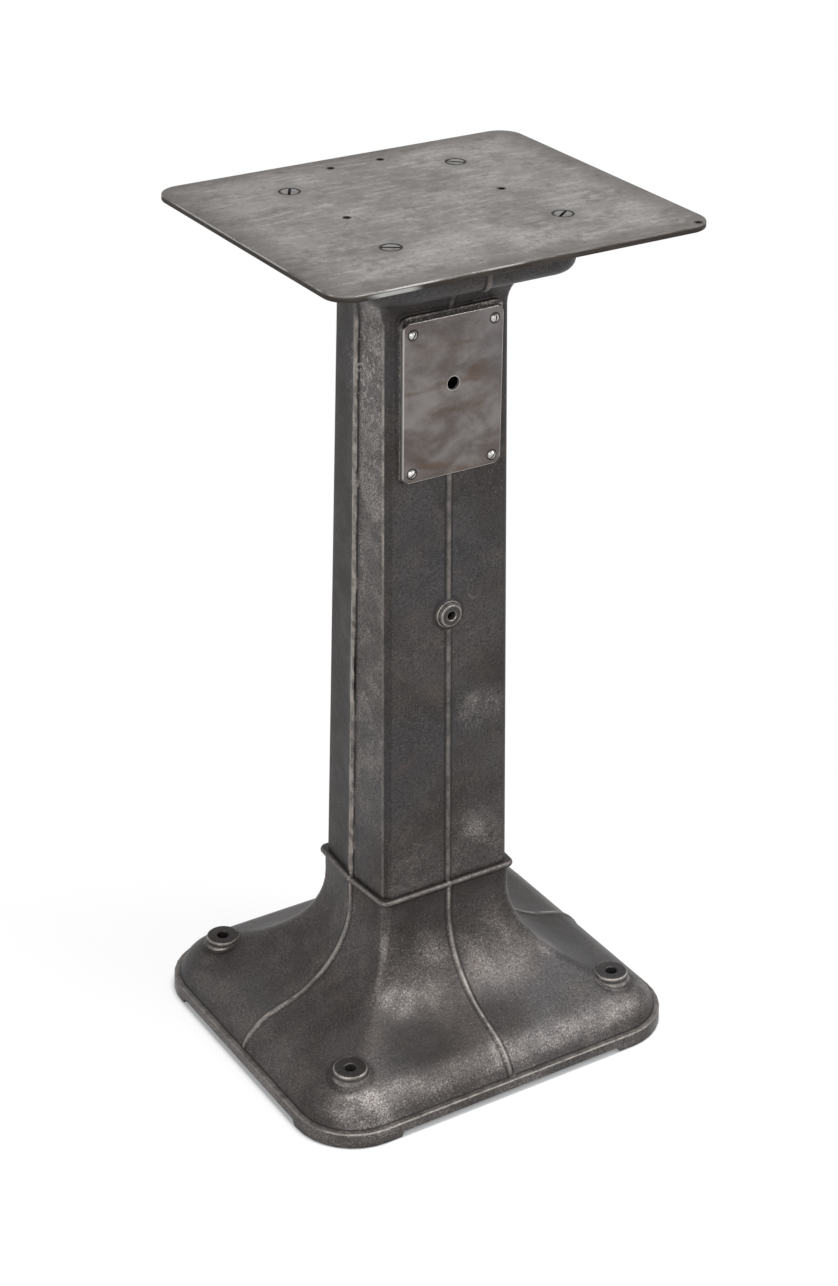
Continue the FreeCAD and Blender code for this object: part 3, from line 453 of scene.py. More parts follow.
# ---------------------------------------------------------------- base casting
NECK_RIDGE, NECK_FRONT = FOOT_RIDGE + NECK_STEP, FOOT_FRONT + NECK_STEP
RIM_LEDGE = RIM_HEIGHT - RIM_EDGE
RUN_FRONT = BASE_HALF_Y - LEDGE - NECK_FRONT
RUN_SIDE = BASE_HALF_X - LEDGE - NECK_RIDGE
SHOULDER_RUN = RUN_FRONT - SHOULDER_RADIUS * math.sin(SHOULDER_TURN)
SHOULDER_HEIGHT = RIM_LEDGE - SHOULDER_RADIUS * math.cos(SHOULDER_TURN)
DECK_END_RUN = SHOULDER_RUN + SHOULDER_RADIUS * math.sin(DECK_SLOPE)
DECK_END_HEIGHT = SHOULDER_HEIGHT + SHOULDER_RADIUS * math.cos(DECK_SLOPE)
FLARE_END_RUN = FLARE_RADIUS * (1 - math.sin(DECK_SLOPE))
FLARE_END_HEIGHT = DECK_END_HEIGHT + math.tan(DECK_SLOPE) * (DECK_END_RUN - FLARE_END_RUN)
FLARE_TOP = FLARE_END_HEIGHT + FLARE_RADIUS * math.cos(DECK_SLOPE)
BODY_CORNER = BASE_CORNER - LEDGE


def base_profile(inset, flare_steps, shoulder_steps, lowest_turn):
    """(run, height, side share) from the foot of the shoulder up to the neck, moved inwards."""
    points = []
    for turn in steps(lowest_turn, DECK_SLOPE, shoulder_steps):
        radius = SHOULDER_RADIUS - inset
        points.append((
            SHOULDER_RUN + radius * math.sin(turn), SHOULDER_HEIGHT + radius * math.cos(turn), 1))
    radius = FLARE_RADIUS + inset
    flare = [
        (FLARE_RADIUS - radius * math.cos(turn), FLARE_TOP - radius * math.sin(turn), 0)
        for turn in steps(math.pi / 2 - DECK_SLOPE, 0, flare_steps)]
    outer, inner = points[-1], flare[0]
    middle = tuple((one + other) / 2 for one, other in zip(outer, inner))
    return points + [middle] + flare


def base_level(point, inset, neck_corner, body_corner):
    """One outline of the base casting at a point of its profile."""
    run, height, side_share = point
    share = min(1, max(0, (run + inset) / RUN_FRONT))
    return (
        height, NECK_RIDGE + run + side_share * (RUN_SIDE - RUN_FRONT), NECK_FRONT + run,
        FOOT_BULGE * max(0, 1 - 2 * share),
        neck_corner + (body_corner - neck_corner) * share ** CORNER_GROWTH, BASE_RIB_SHIFT)


def rim_level(inset, height):
    """One outline of the base's rim, below the ledge."""
    return height, BASE_HALF_X - inset, BASE_HALF_Y - inset, 0, BASE_CORNER - inset, BASE_RIB_SHIFT


def ring_level(out, height, corner):
    """One outline of the ring round the top of the neck."""
    return height, NECK_RIDGE + out, NECK_FRONT + out, FOOT_BULGE, corner + out, BASE_RIB_SHIFT


def passage_level(height):
    """The outline of the opening through the joint's two flanges."""
    return height, PASSAGE_HALF_X, PASSAGE_HALF_Y, 0, PASSAGE_CORNER


def base_levels():
    """The base's outlines, up the outside and down the inside, and which of them carry ribs."""
    levels = [rim_level(RIM_CHAMFER, 0), rim_level(0, RIM_CHAMFER), rim_level(0, RIM_LEDGE)]
    for turn in steps(0, math.pi / 2, 3)[1:]:
        levels.append(rim_level(
            RIM_EDGE * (1 - math.cos(turn)), RIM_LEDGE + RIM_EDGE * math.sin(turn)))
    lift = LEDGE_FILLET / 4
    levels.append(rim_level(LEDGE - LEDGE_FILLET, RIM_HEIGHT))
    levels.append(rim_level(LEDGE + lift, RIM_HEIGHT + lift))
    rib_start = len(levels) + 1
    outer = base_profile(0, 12, 8, SHOULDER_FOOT_TURN)
    levels += [base_level(point, 0, COLUMN_CORNER, BODY_CORNER) for point in outer]
    levels.append(ring_level(0, NECK_TOP - 2 * RING_RADIUS - LEDGE_FILLET, COLUMN_CORNER))
    rib_end = len(levels) + 1
    for turn in steps(-80, 90, 8):
        out = RING_RADIUS * math.cos(math.radians(turn))
        height = NECK_TOP - RING_RADIUS * (1 - math.sin(math.radians(turn)))
        levels.append(ring_level(out, height, RING_CORNER))
    under = NECK_TOP - FLANGE
    levels += [passage_level(NECK_TOP), passage_level(under)]
    inner = base_profile(BASE_WALL, 6, 5, SHOULDER_TURN)[::-1]
    cavity = [
        base_level(point, BASE_WALL, CAVITY_CORNER, BODY_CORNER - BASE_WALL) for point in inner]
    levels += [(under, *cavity[0][1:])] + cavity + [(0, *cavity[-1][1:])]
    return levels, range(rib_start, rib_end)


def round_edge(reach, top, radius, turns):
    """(reach, height) steps round a top's outer edge."""
    return [
        (reach - radius * (1 - math.sin(turn)), top - radius * (1 - math.cos(turn)))
        for turn in turns]


def make_anchor_boss(place, casting):
    """One raised bolt seat with a rounded edge, whose foot runs out into the deck."""
    boss = start_piece("anchor_boss")
    profile = [
        (ANCHOR_HOLE, ANCHOR_TOP - ANCHOR_HOLE_DEPTH), (ANCHOR_HOLE, ANCHOR_TOP - ANCHOR_CHAMFER),
        (ANCHOR_HOLE + ANCHOR_CHAMFER, ANCHOR_TOP), (ANCHOR_RADIUS - ANCHOR_EDGE, ANCHOR_TOP)]
    profile += round_edge(ANCHOR_RADIUS, ANCHOR_TOP, ANCHOR_EDGE, (0.5, 1.0, math.pi / 2))
    turn_profile(place, profile)
    spread_foot(boss, place, ANCHOR_RADIUS, ANCHOR_FEET)
    turn_faces_out()
    settle_foot(boss, casting, ANCHOR_FEET, "Z", False)
    close_shell(boss)
    return boss


def cut_reliefs(casting):
    """Cut the low arches under the rim, so that the base stands on its four corners."""
    for half, turn in ((RELIEF_HALF_X, 0), (RELIEF_HALF_Y, 90)):
        cutter = start_piece("relief_cutter")
        add_block((half + RELIEF_HEIGHT, 1, RELIEF_HEIGHT))
        choose_points(cutter, lambda place: place.z > 0)
        scale = half / (half + RELIEF_HEIGHT)
        bpy.ops.transform.resize(value=(scale, 1, 1), center_override=(0, 0, 0))
        make_active(cutter)
        cutter.rotation_euler.z = math.radians(turn)
        bpy.ops.object.transform_apply()
        cut_with(casting, cutter)


def make_base_casting():
    """The hollow base with its ribs, ring, bolt seats and the relief under its rim."""
    casting = start_piece("base_iron_casting")
    levels, ribbed = base_levels()
    skin_levels(casting, levels)
    raise_ribs(casting, ribbed, BASE_RIB_SHIFT)
    make_active(casting)
    places = four_places(ANCHOR_X, ANCHOR_Y)
    bosses = [make_anchor_boss(place, casting) for place in places]
    round_holes(casting, places, ANCHOR_HOLE + HOLE_RELIEF, 0, ANCHOR_TOP)
    round_holes(casting, four_places(BOLT_X, BOLT_Y), BOLT_HOLE, NECK_TOP - FLANGE, NECK_TOP)
    cut_reliefs(casting)
    return join_pieces(casting, bosses)


# ---------------------------------------------------------------- column casting
def pan_profile(inset, cove_steps, edge_steps):
    """(run, height) up the cove and round the pan's lower edge, moved inwards by an inset."""
    cove, bend = PAN_COVE + inset, PAN_EDGE - inset
    bend_run = PAN_HALF_Y - HEAD_FRONT - PAN_EDGE
    slope_start = bend_run + PAN_EDGE * math.sin(PAN_SLOPE)
    climb = math.tan(PAN_SLOPE) * (slope_start - PAN_COVE)
    bend_height = PAN_TOP - PAN_HEIGHT + climb + PAN_EDGE * math.cos(PAN_SLOPE)
    points = [
        (PAN_COVE - cove * math.cos(turn), COVE_START + cove * math.sin(turn))
        for turn in steps(0, math.pi / 2 - PAN_SLOPE, cove_steps)]
    points += [
        (bend_run + bend * math.sin(turn), bend_height - bend * math.cos(turn))
        for turn in steps(PAN_SLOPE, math.pi / 2, edge_steps)]
    return points


def pan_level(point, inset, column_corner, pan_corner):
    """One outline of the pan at a point of its profile."""
    run, height = point
    share = min(1, max(0, run + inset) / (PAN_HALF_Y - HEAD_FRONT))
    return (
        height, HEAD_RIDGE + share * (PAN_HALF_X - HEAD_RIDGE) - inset, HEAD_FRONT + run,
        HEAD_BULGE * (1 - share), column_corner + (pan_corner - column_corner) * share ** 2)


def shaft_level(height, inset, corner):
    """One outline of the straight, tapered shaft."""
    share = (height - NECK_TOP) / (COVE_START - NECK_TOP)
    ridge = FOOT_RIDGE + (HEAD_RIDGE - FOOT_RIDGE) * share
    front = FOOT_FRONT + (HEAD_FRONT - FOOT_FRONT) * share
    bulge = FOOT_BULGE + (HEAD_BULGE - FOOT_BULGE) * share
    return height, ridge - inset, front - inset, bulge, corner


def column_levels():
    """The column's outlines, up the outside and down the inside, and which of them carry ribs."""
    chamfer = 0.0004
    levels = [shaft_level(NECK_TOP, chamfer, COLUMN_CORNER)]
    rib_start = len(levels) + 1
    for height in steps(NECK_TOP + chamfer, COVE_START, SHAFT_LEVELS)[:-1]:
        levels.append(shaft_level(height, 0, COLUMN_CORNER))
    outer = pan_profile(0, 10, 6)
    levels += [pan_level(point, 0, COLUMN_CORNER, PAN_CORNER) for point in outer]
    rim = levels[-1]
    levels.append((PAN_TOP - chamfer, *rim[1:]))
    rib_end = len(levels) + 1
    levels.append((PAN_TOP, rim[1] - chamfer, rim[2] - chamfer, rim[3], rim[4] - chamfer))
    roof = PAN_TOP - PAN_SKIN
    opening = (PAN_OPENING_HALF_X, PAN_OPENING_HALF_Y, 0, PASSAGE_CORNER)
    levels += [(PAN_TOP, *opening), (roof, *opening)]
    inner = [
        pan_level(point, COLUMN_WALL, CAVITY_CORNER, PAN_CORNER - COLUMN_WALL)
        for point in pan_profile(COLUMN_WALL, 5, 4)[::-1]]
    floor = NECK_TOP + FLANGE
    levels += [(roof, *inner[0][1:])] + inner + [shaft_level(floor, COLUMN_WALL, CAVITY_CORNER)]
    levels += [passage_level(floor), passage_level(NECK_TOP)]
    return levels, range(rib_start, rib_end)


def stand_up(piece, height):
    """Turn a piece that was modelled lying flat so that its top faces the front, at a height."""
    make_active(piece)
    piece.rotation_euler = (math.pi / 2, 0, 0)
    piece.location = (0, 0, height)
    bpy.ops.object.transform_apply()


def column_face(height):
    """How far the column's front stands from the middle at a height."""
    return shaft_level(height, 0, COLUMN_CORNER)[2]


def make_front_boss(casting):
    """The drilled boss on the front rib, with a low collar that runs out into the face."""
    boss = start_piece("front_boss")
    seat = column_face(BOSS_HEIGHT)
    top, collar = seat + BOSS_PROUD, seat + BOSS_COLLAR_PROUD
    inner_end = seat - COLUMN_WALL + 0.0015
    profile = [
        (BOSS_HOLE, inner_end), (BOSS_HOLE, top - BOSS_CHAMFER), (BOSS_HOLE + BOSS_CHAMFER, top)]
    profile += round_edge(BOSS_RADIUS, top, BOSS_EDGE, steps(0, math.pi / 2, 3))
    profile += [
        (BOSS_RADIUS, collar + BOSS_CHAMFER), (BOSS_RADIUS + BOSS_CHAMFER, collar),
        (BOSS_COLLAR - BOSS_CHAMFER, collar - 0.0002), (BOSS_COLLAR, collar - 0.0009)]
    turn_profile((0, 0), profile)
    spread_foot(boss, (0, 0), BOSS_COLLAR, BOSS_FEET)
    turn_faces_out()
    stand_up(boss, BOSS_HEIGHT)
    settle_foot(boss, casting, BOSS_FEET, "Y", True)
    close_shell(boss)
    return boss


def make_cover_frame(casting):
    """The raised, faced frame round the window, which runs out into the column's front."""
    panel = start_piece("cover_frame")
    half_height = (FRAME_TOP - FRAME_BOTTOM) / 2
    offset = (FRAME_TOP + FRAME_BOTTOM) / 2 - COVER_CENTRE
    back = FRAME_FACE - FRAME_DEPTH

    def outline(out, height):
        """One outline of the frame's outer edge."""
        return height, FRAME_HALF_X + out, half_height + out, 0, FRAME_CORNER + out

    window = (WINDOW_HALF_X, WINDOW_HALF_Z + offset, 0, WINDOW_CORNER)
    levels = [(back, *window), (FRAME_FACE, *window)]
    levels += [
        outline(out, height)
        for out, height in round_edge(0, FRAME_FACE, FRAME_EDGE, steps(0, math.pi / 2, 3))]
    levels += [outline(out, FRAME_FACE - FRAME_EDGE - out) for out, _ in FRAME_FEET]
    levels.append(outline(0.0020, back))
    skin_levels(panel, levels)
    first = len(levels) - len(FRAME_FEET)
    for step in range(len(FRAME_FEET)):
        choose_levels(panel, (first + step,))
        name_selected(panel, f"foot_{step}")
    stand_up(panel, COVER_CENTRE + offset)
    settle_foot(panel, casting, FRAME_FEET, "Y", True)
    return panel


def fray_left_rib(casting):
    """Move the left rib's crest to and fro, as the two halves of a mould leave it."""
    wander = random.Random(11)
    sway = 0.0
    crest = RIB_STEPS[1][0] + 0.0001
    for number in range(RAGGED_FROM, SHAFT_LEVELS):
        sway += wander.uniform(-RAGGED_STEP, RAGGED_STEP)
        sway = max(-RAGGED_MOST, min(RAGGED_MOST, sway))
        choose_levels(casting, (number,), lambda place: place.x < 0 and abs(place.y) < crest)
        bpy.ops.transform.translate(value=(0, sway, 0))


def cut_boss_hole(casting):
    """Open the column's front wall behind the boss."""
    cutter = start_piece("boss_hole_cutter")
    bpy.ops.mesh.primitive_cylinder_add(
        vertices=32, radius=BOSS_HOLE + HOLE_RELIEF, depth=5 * COLUMN_WALL,
        location=(0, 0, column_face(BOSS_HEIGHT)))
    stand_up(cutter, BOSS_HEIGHT)
    cut_with(casting, cutter)


def cut_window(casting):
    """Open the column's front wall behind the cover plate."""
    cutter = start_piece("window_cutter")
    add_block((WINDOW_HALF_X, WINDOW_HALF_Z, WINDOW_DEPTH), (0, 0, FRAME_FACE))
    round_upright_edges(cutter, WINDOW_DEPTH, WINDOW_CORNER, CORNER_SEGMENTS)
    stand_up(cutter, COVER_CENTRE)
    cut_with(casting, cutter)


def make_column_casting():
    """The hollow tapered column with its ribs, pan, front boss and the cover's frame."""
    casting = start_piece("column_iron_casting")
    levels, ribbed = column_levels()
    skin_levels(casting, levels)
    raise_ribs(casting, ribbed)
    fray_left_rib(casting)
    make_active(casting)
    extras = [make_front_boss(casting), make_cover_frame(casting)]
    round_holes(casting, four_places(BOLT_X, BOLT_Y), BOLT_HOLE, NECK_TOP, NECK_TOP + FLANGE)
    screws = four_places(SCREW_X, SCREW_Y, *SCREW_MIDDLE)
    round_holes(casting, screws, SCREW_TAP, PAN_TOP - PAN_SKIN, PAN_TOP)
    cut_boss_hole(casting)
    cut_window(casting)
    return join_pieces(casting, extras)


# ---------------------------------------------------------------- plates
def rounded_slab(name, low, high, corner, edge, both_edges=True):
    """A flat plate with round corners and softened edges, lying flat."""
    slab = start_piece(name)
    size = high - low
    add_block(size / 2, (low + high) / 2)
    round_upright_edges(slab, size.z / 2, corner, 12)
    lowest = low.z if both_edges else high.z

    def on_rim(item):
        """Whether an edge runs round a face of the plate that is softened."""
        levels = [round(point.co.z, 5) for point in item.verts]
        return levels[0] == levels[1] and levels[0] >= round(lowest, 5)

    choose_edges(slab, on_rim)
    bpy.ops.mesh.bevel(offset=edge, segments=4)
    make_active(slab)
    return slab


def make_top_plate():
    """The work plate, countersunk for four screws and drilled for fixings."""
    plate = rounded_slab("work_plate", plate_low, plate_high, PLATE_CORNER, PLATE_EDGE)
    low, top, high = PAN_TOP - OVERRUN, plate_high.z, plate_high.z + OVERRUN
    cutter = start_piece("sink_cutter")
    for place in four_places(SCREW_X, SCREW_Y, *SCREW_MIDDLE):
        turn_profile(place, [
            (POLE, low), (SCREW_HOLE, low), (SCREW_HOLE, top - SCREW_HEAD_DEPTH),
            (SCREW_SINK, top), (SCREW_SINK, high), (POLE, high)])
    close_poles()
    cut_with(plate, cutter)
    round_holes(plate, FIXING_HOLES, FIXING_HOLE, PAN_TOP, top)
    round_holes(plate, [CORNER_HOLE_PLACE], CORNER_HOLE, PAN_TOP, top)
    return plate


def make_cover_plate():
    """The thin cover over the window, with a hole above its middle."""
    half_x, half_z = (cover_high.x - cover_low.x) / 2, (cover_high.z - cover_low.z) / 2
    low = Vector((-half_x, -half_z, FRAME_FACE))
    high = Vector((half_x, half_z + COVER_TOP_MARGIN, COVER_FACE))
    cover = rounded_slab("access_cover", low, high, COVER_CORNER, COVER_EDGE, both_edges=False)
    round_holes(cover, [(0, COVER_HOLE_RISE)], COVER_HOLE, FRAME_FACE, COVER_FACE, facets=48)
    screws = four_places(COVER_SCREW_X, COVER_SCREW_Z)
    round_holes(cover, screws, COVER_SCREW_HOLE, FRAME_FACE, COVER_FACE)
    stand_up(cover, COVER_CENTRE)
    return cover


# ---------------------------------------------------------------- screws
def cut_slot(screw, reach, half_width, floor, steel, painted_shade):
    """The screwdriver slot across a head that faces up, with black dirt and painted shade on its walls
    and floor.
    """
    half_height = 0.005
    cutter = start_piece("slot_cutter")
    add_block((reach, half_width, half_height), (0, 0, floor + half_height))
    cut_with(screw, cutter)
    screw.data.materials.append(steel)
    screw.data.materials.append(painted_shade)
    for face in screw.data.polygons:
        wall = abs(face.normal.y) > 0.99 and abs(abs(face.center.y) - half_width) < TINY
        if wall or (face.normal.z > 0.99 and abs(face.center.z - floor) < TINY):
            face.material_index = 1


def make_plate_screw(steel, painted_shade):
    """A slotted countersunk screw, its top at the origin's height."""
    screw = start_piece("plate_screw")
    edge = SCREW_HEAD - 0.00025
    turn_profile((0, 0), [
        (POLE, -SCREW_LENGTH), (SCREW_SHANK - 0.0003, -SCREW_LENGTH),
        (SCREW_SHANK, 0.0005 - SCREW_LENGTH), (SCREW_SHANK, -SCREW_HEAD_DEPTH),
        (edge, -0.00025), (SCREW_HEAD, -0.0001), (edge, 0), (POLE, 0)], facets=48)
    close_poles()
    make_active(screw)
    cut_slot(screw, 0.01, 0.0013, -0.0024, steel, painted_shade)
    return screw


def make_cover_screw(steel, painted_shade):
    """A slotted round-head screw, its head's seat at the origin's height."""
    screw = start_piece("cover_screw")
    head, top, shank = COVER_SCREW_HEAD, COVER_SCREW_TOP, COVER_SCREW_SHANK
    dome = (head ** 2 + top ** 2) / (2 * top)
    profile = [
        (POLE, -COVER_SCREW_LENGTH), (shank - 0.0002, -COVER_SCREW_LENGTH),
        (shank, 0.0003 - COVER_SCREW_LENGTH), (shank, 0), (head - 0.0002, 0)]
    profile += [
        (max(dome * math.sin(turn), POLE), top - dome * (1 - math.cos(turn)))
        for turn in steps(math.asin(head / dome), 0, 9)]
    turn_profile((0, 0), profile)
    close_poles()
    make_active(screw)
    cut_slot(screw, 0.005, 0.0006, top - 0.0012, steel, painted_shade)
    return screw


def place_copies(model, stem, places, turns, steel, smooth):
    """Copy a screw to its places, each copy with its own mesh and its own turn."""
    for number, (place, rotation) in enumerate(zip(places, turns), start=1):
        copy = model.copy()
        copy.data = model.data.copy()
        copy.name = copy.data.name = f"{stem}_{number}_turned"
        bpy.context.scene.collection.objects.link(copy)
        copy.location = place
        copy.rotation_euler = rotation
        finish_piece(copy, steel, f"{stem}_{number}", smooth)
    bpy.data.objects.remove(model)


# ---------------------------------------------------------------- materials
def both_ways(operation):
    """An operator between a value and another, and its reflected form."""
    return (
        lambda value, other: value.combine(operation, value, other),
        lambda value, other: value.combine(operation, other, value))


class Value:
    """A node's socket that can be used in sums like a number."""

    def __init__(self, nodes, socket):
        self.nodes = nodes
        self.socket = socket

    def combine(self, operation, first, second=None):
        """A Math node on one value or two."""
        inputs = {0: first} if second is None else {0: first, 1: second}
        return self.nodes.node("ShaderNodeMath", {"operation": operation}, inputs)

    __add__, __radd__ = both_ways("ADD")
    __sub__, __rsub__ = both_ways("SUBTRACT")
    __mul__, __rmul__ = both_ways("MULTIPLY")
    __truediv__, __rtruediv__ = both_ways("DIVIDE")
    __pow__, __rpow__ = both_ways("POWER")

    def __abs__(self):
        return self.combine("ABSOLUTE", self)

    def most(self, other):
        """The greater of two values."""
        return self.combine("MAXIMUM", self, other)

    def least(self, other):
        """The lesser of two values."""
        return self.combine("MINIMUM", self, other)


def rise(value, low, high):
    """0 below low, 1 above high, with a smooth turn between them."""
    return value.nodes.node(
        "ShaderNodeMapRange", {"interpolation_type": "SMOOTHSTEP"},
        {"Value": value, "From Min": low, "From Max": high})


def fall(value, low, high):
    """1 below low, 0 above high, with a smooth turn between them."""
    return 1 - rise(value, low, high)


def band(value, centre, half, soft):
    """1 within half a width of a centre, fading over a soft edge."""
    return fall(abs(value - centre), half, half + soft)


def strongest(first, *others):
    """The greatest of several values."""
    for other in others:
        first = first.most(other)
    return first


def distance(across, along):
    """The distance from a line, from the distances along the two axes across it."""
    return (across * across + along * along) ** 0.5


class Nodes:
    """The empty node tree of a material or a world, and the one way to fill it."""

    def __init__(self, owner):
        owner.use_nodes = True
        self.tree = owner.node_tree
        self.tree.nodes.clear()

    def node(self, kind, settings=None, inputs=None, output=0):
        """Add a node: its settings first, then its inputs; gives one of its outputs."""
        node = self.tree.nodes.new(kind)
        for name, setting in (settings or {}).items():
            setattr(node, name, setting)
        for name, value in (inputs or {}).items():
            if isinstance(value, Value):
                self.tree.links.new(value.socket, node.inputs[name])
            else:
                node.inputs[name].default_value = value
        return Value(self, node.outputs[output]) if node.outputs else None

    def parts(self, vector):
        """The x, y and z of a vector."""
        split = self.node("ShaderNodeSeparateXYZ", inputs={0: vector}).socket.node
        return [Value(self, output) for output in split.outputs]

    def seen_by(self, *rays):
        """1 for the kinds of ray that are named, 0 for the rest."""
        return strongest(*(
            self.node("ShaderNodeLightPath", output=f"Is {ray} Ray") for ray in rays))


class Finish(Nodes):
    """A material's nodes, with the place and the facing of the surface to work from."""

    def __init__(self, name):
        self.material = bpy.data.materials.new(name)
        super().__init__(self.material)
        self.place = self.node("ShaderNodeTexCoord", output="Object")
        self.at = self.parts(self.place)
        self.facing = self.parts(self.node("ShaderNodeNewGeometry", output="Normal"))

    def stretched(self, scale, turn=(0, 0, 0), move=(0, 0, 0)):
        """Object coordinates moved, turned and scaled."""
        return self.node("ShaderNodeMapping", inputs={
            "Vector": self.place, "Location": move, "Rotation": turn, "Scale": scale})

    def noise(self, scale, detail=3.0, rough=0.55, bend=0.0, place=None):
        """Cloudy values from 0 to 1."""
        return self.node("ShaderNodeTexNoise", inputs={
            "Vector": place or self.place, "Scale": scale, "Detail": detail, "Roughness": rough,
            "Distortion": bend})

    def mix(self, share, first, second):
        """A colour between two colours."""
        colours = {
            socket: colour if isinstance(colour, Value) else (*colour, 1)
            for socket, colour in ((6, first), (7, second))}
        return self.node(
            "ShaderNodeMix", {"data_type": "RGBA", "clamp_factor": True}, {0: share, **colours},
            output=2)

    def coated(self, colour, *coats):
        """A colour with thin coats over it, each a share and a colour."""
        for share, coat in coats:
            colour = self.mix(share, colour, coat)
        return colour

    def spot(self, centre, near, far):
        """1 near a point in space, fading to 0."""
        gap = self.node(
            "ShaderNodeVectorMath", {"operation": "DISTANCE"}, {0: self.place, 1: centre}, "Value")
        return fall(gap, near, far)

    def spots(self, *rows):
        """The strongest of several spots, each a centre, a near and far reach and a strength."""
        return strongest(*(
            self.spot(centre, near, far) * strength for centre, near, far, strength in rows))

    def bump(self, height, depth, strength=1.0, under=None):
        """A surface normal that follows a height, over another normal if there is one."""
        inputs = {"Height": height, "Distance": depth, "Strength": strength}
        if under is not None:
            inputs["Normal"] = under
        return self.node("ShaderNodeBump", inputs=inputs)

    def done(self, **inputs):
        """Connect the surface and give the material."""
        shader = self.node("ShaderNodeBsdfPrincipled", inputs={
            name.replace("_", " "): value for name, value in inputs.items()})
        self.node("ShaderNodeOutputMaterial", inputs={"Surface": shader})
        return self.material


def cast_iron(name, side_shift, marks):
    """Bare dark cast iron: sandy skin, brown and blue clouds, worn edges with painted highlights, and
    painted shade and painted sheen.
    """
    finish = Finish(name)
    grain = finish.noise(620, 3, 0.75)
    sand = finish.noise(250, 3, 0.65)
    patches = finish.noise(42, 4, 0.6, 0.3)
    clouds = finish.noise(12, 4, 0.55, 0.4)
    tint = finish.noise(7, 3, 0.5, 0.3)
    broken = rise(finish.noise(75, 4, 0.7), 0.34, 0.64)
    # The marks give worn edges with painted highlights, painted shade in creases and on sides turned
    # from the lamps, and painted sheen where lamps would light broad areas.
    bright, dirt_and_shade, painted_sheen = marks(finish, side_shift, patches, clouds)
    speck = rise(grain + painted_sheen * 0.08, 0.54, 0.72)
    pits = fall(grain + sand * 0.5, 0.62, 0.74)
    colour = finish.mix(rise(clouds, 0.35, 0.68), (0.034, 0.0285, 0.0265), (0.061, 0.055, 0.053))
    colour = finish.coated(
        colour,
        (rise(tint, 0.46, 0.68) * 0.6, (0.046, 0.047, 0.053)),
        (rise(patches, 0.5, 0.75) * 0.5, (0.088, 0.070, 0.060)),
        # Painted sheen lightens the skin, and grain specks grow brighter in it as painted sparkle.
        (painted_sheen * 0.75, (0.156, 0.141, 0.134)),
        (speck * (0.20 + painted_sheen * 0.46), (0.36, 0.335, 0.32)),
        (pits * 0.58, (0.020, 0.017, 0.016)),
        # Painted shade and darker marks, then bright wear with painted highlights.
        (dirt_and_shade, (0.014, 0.012, 0.011)),
        (bright * (0.25 + broken * 0.75), (0.30, 0.272, 0.25)))
    rough = 0.38 + patches * 0.12 + grain * 0.12 - bright * 0.08 - painted_sheen * 0.06
    skin = finish.bump(sand * 0.5 + grain * 0.5, 0.0009, 0.6)
    skin = finish.bump(patches, 0.0018, 0.4, under=skin)
    return finish.done(Base_Color=colour, Metallic=0.75, Roughness=rough, Normal=skin)


def near_rib(finish, side_shift):
    """How far a point is from the middle of the nearest rib."""
    (x, y, _), (facing_x, facing_y, _) = finish.at, finish.facing
    front_gap = abs(x) + rise(abs(facing_x), 0.8, 0.9)
    side_gap = abs(y - side_shift) + rise(abs(facing_y), 0.8, 0.9)
    return front_gap.least(side_gap)


def seat_marks(finish):
    """Painted highlights on the bolt seats' rims and foot lines, and painted shade round their feet,
    with darker tops.
    """
    (x, y, z), (_, facing_y, _) = finish.at, finish.facing
    reaches = [
        distance(x - across, y - back) for across, back in four_places(ANCHOR_X, ANCHOR_Y)]
    edges = sum(band(reach, ANCHOR_RADIUS - 0.0006, 0.0003, 0.0007) for reach in reaches)
    tops = sum(fall(reach, ANCHOR_RADIUS - 0.002, ANCHOR_RADIUS - 0.001) for reach in reaches)
    foot_lines = sum(band(reach, ANCHOR_RADIUS + 0.0011, 0.0003, 0.0006) for reach in reaches)
    # Painted shade round the seats' feet.
    painted_shade = sum(band(reach, ANCHOR_RADIUS + 0.0028, 0.0008, 0.0050) for reach in reaches)
    edges = edges * rise(z, ANCHOR_TOP - 0.0030, ANCHOR_TOP - 0.0014)
    tops = tops * rise(z, ANCHOR_TOP - 0.0006, ANCHOR_TOP - 0.0003) * 0.45
    foot_lines = foot_lines * fall(z, ANCHOR_TOP - 0.006, ANCHOR_TOP - 0.004)
    # The foot lines' painted highlight is only on the sides that face the front.
    foot_lines = foot_lines * fall(facing_y, -0.3, 0.3) * 0.8
    painted_shade = painted_shade * fall(z, ANCHOR_TOP - 0.006, ANCHOR_TOP - 0.002) * 0.65
    return edges.most(foot_lines), painted_shade.most(tops)


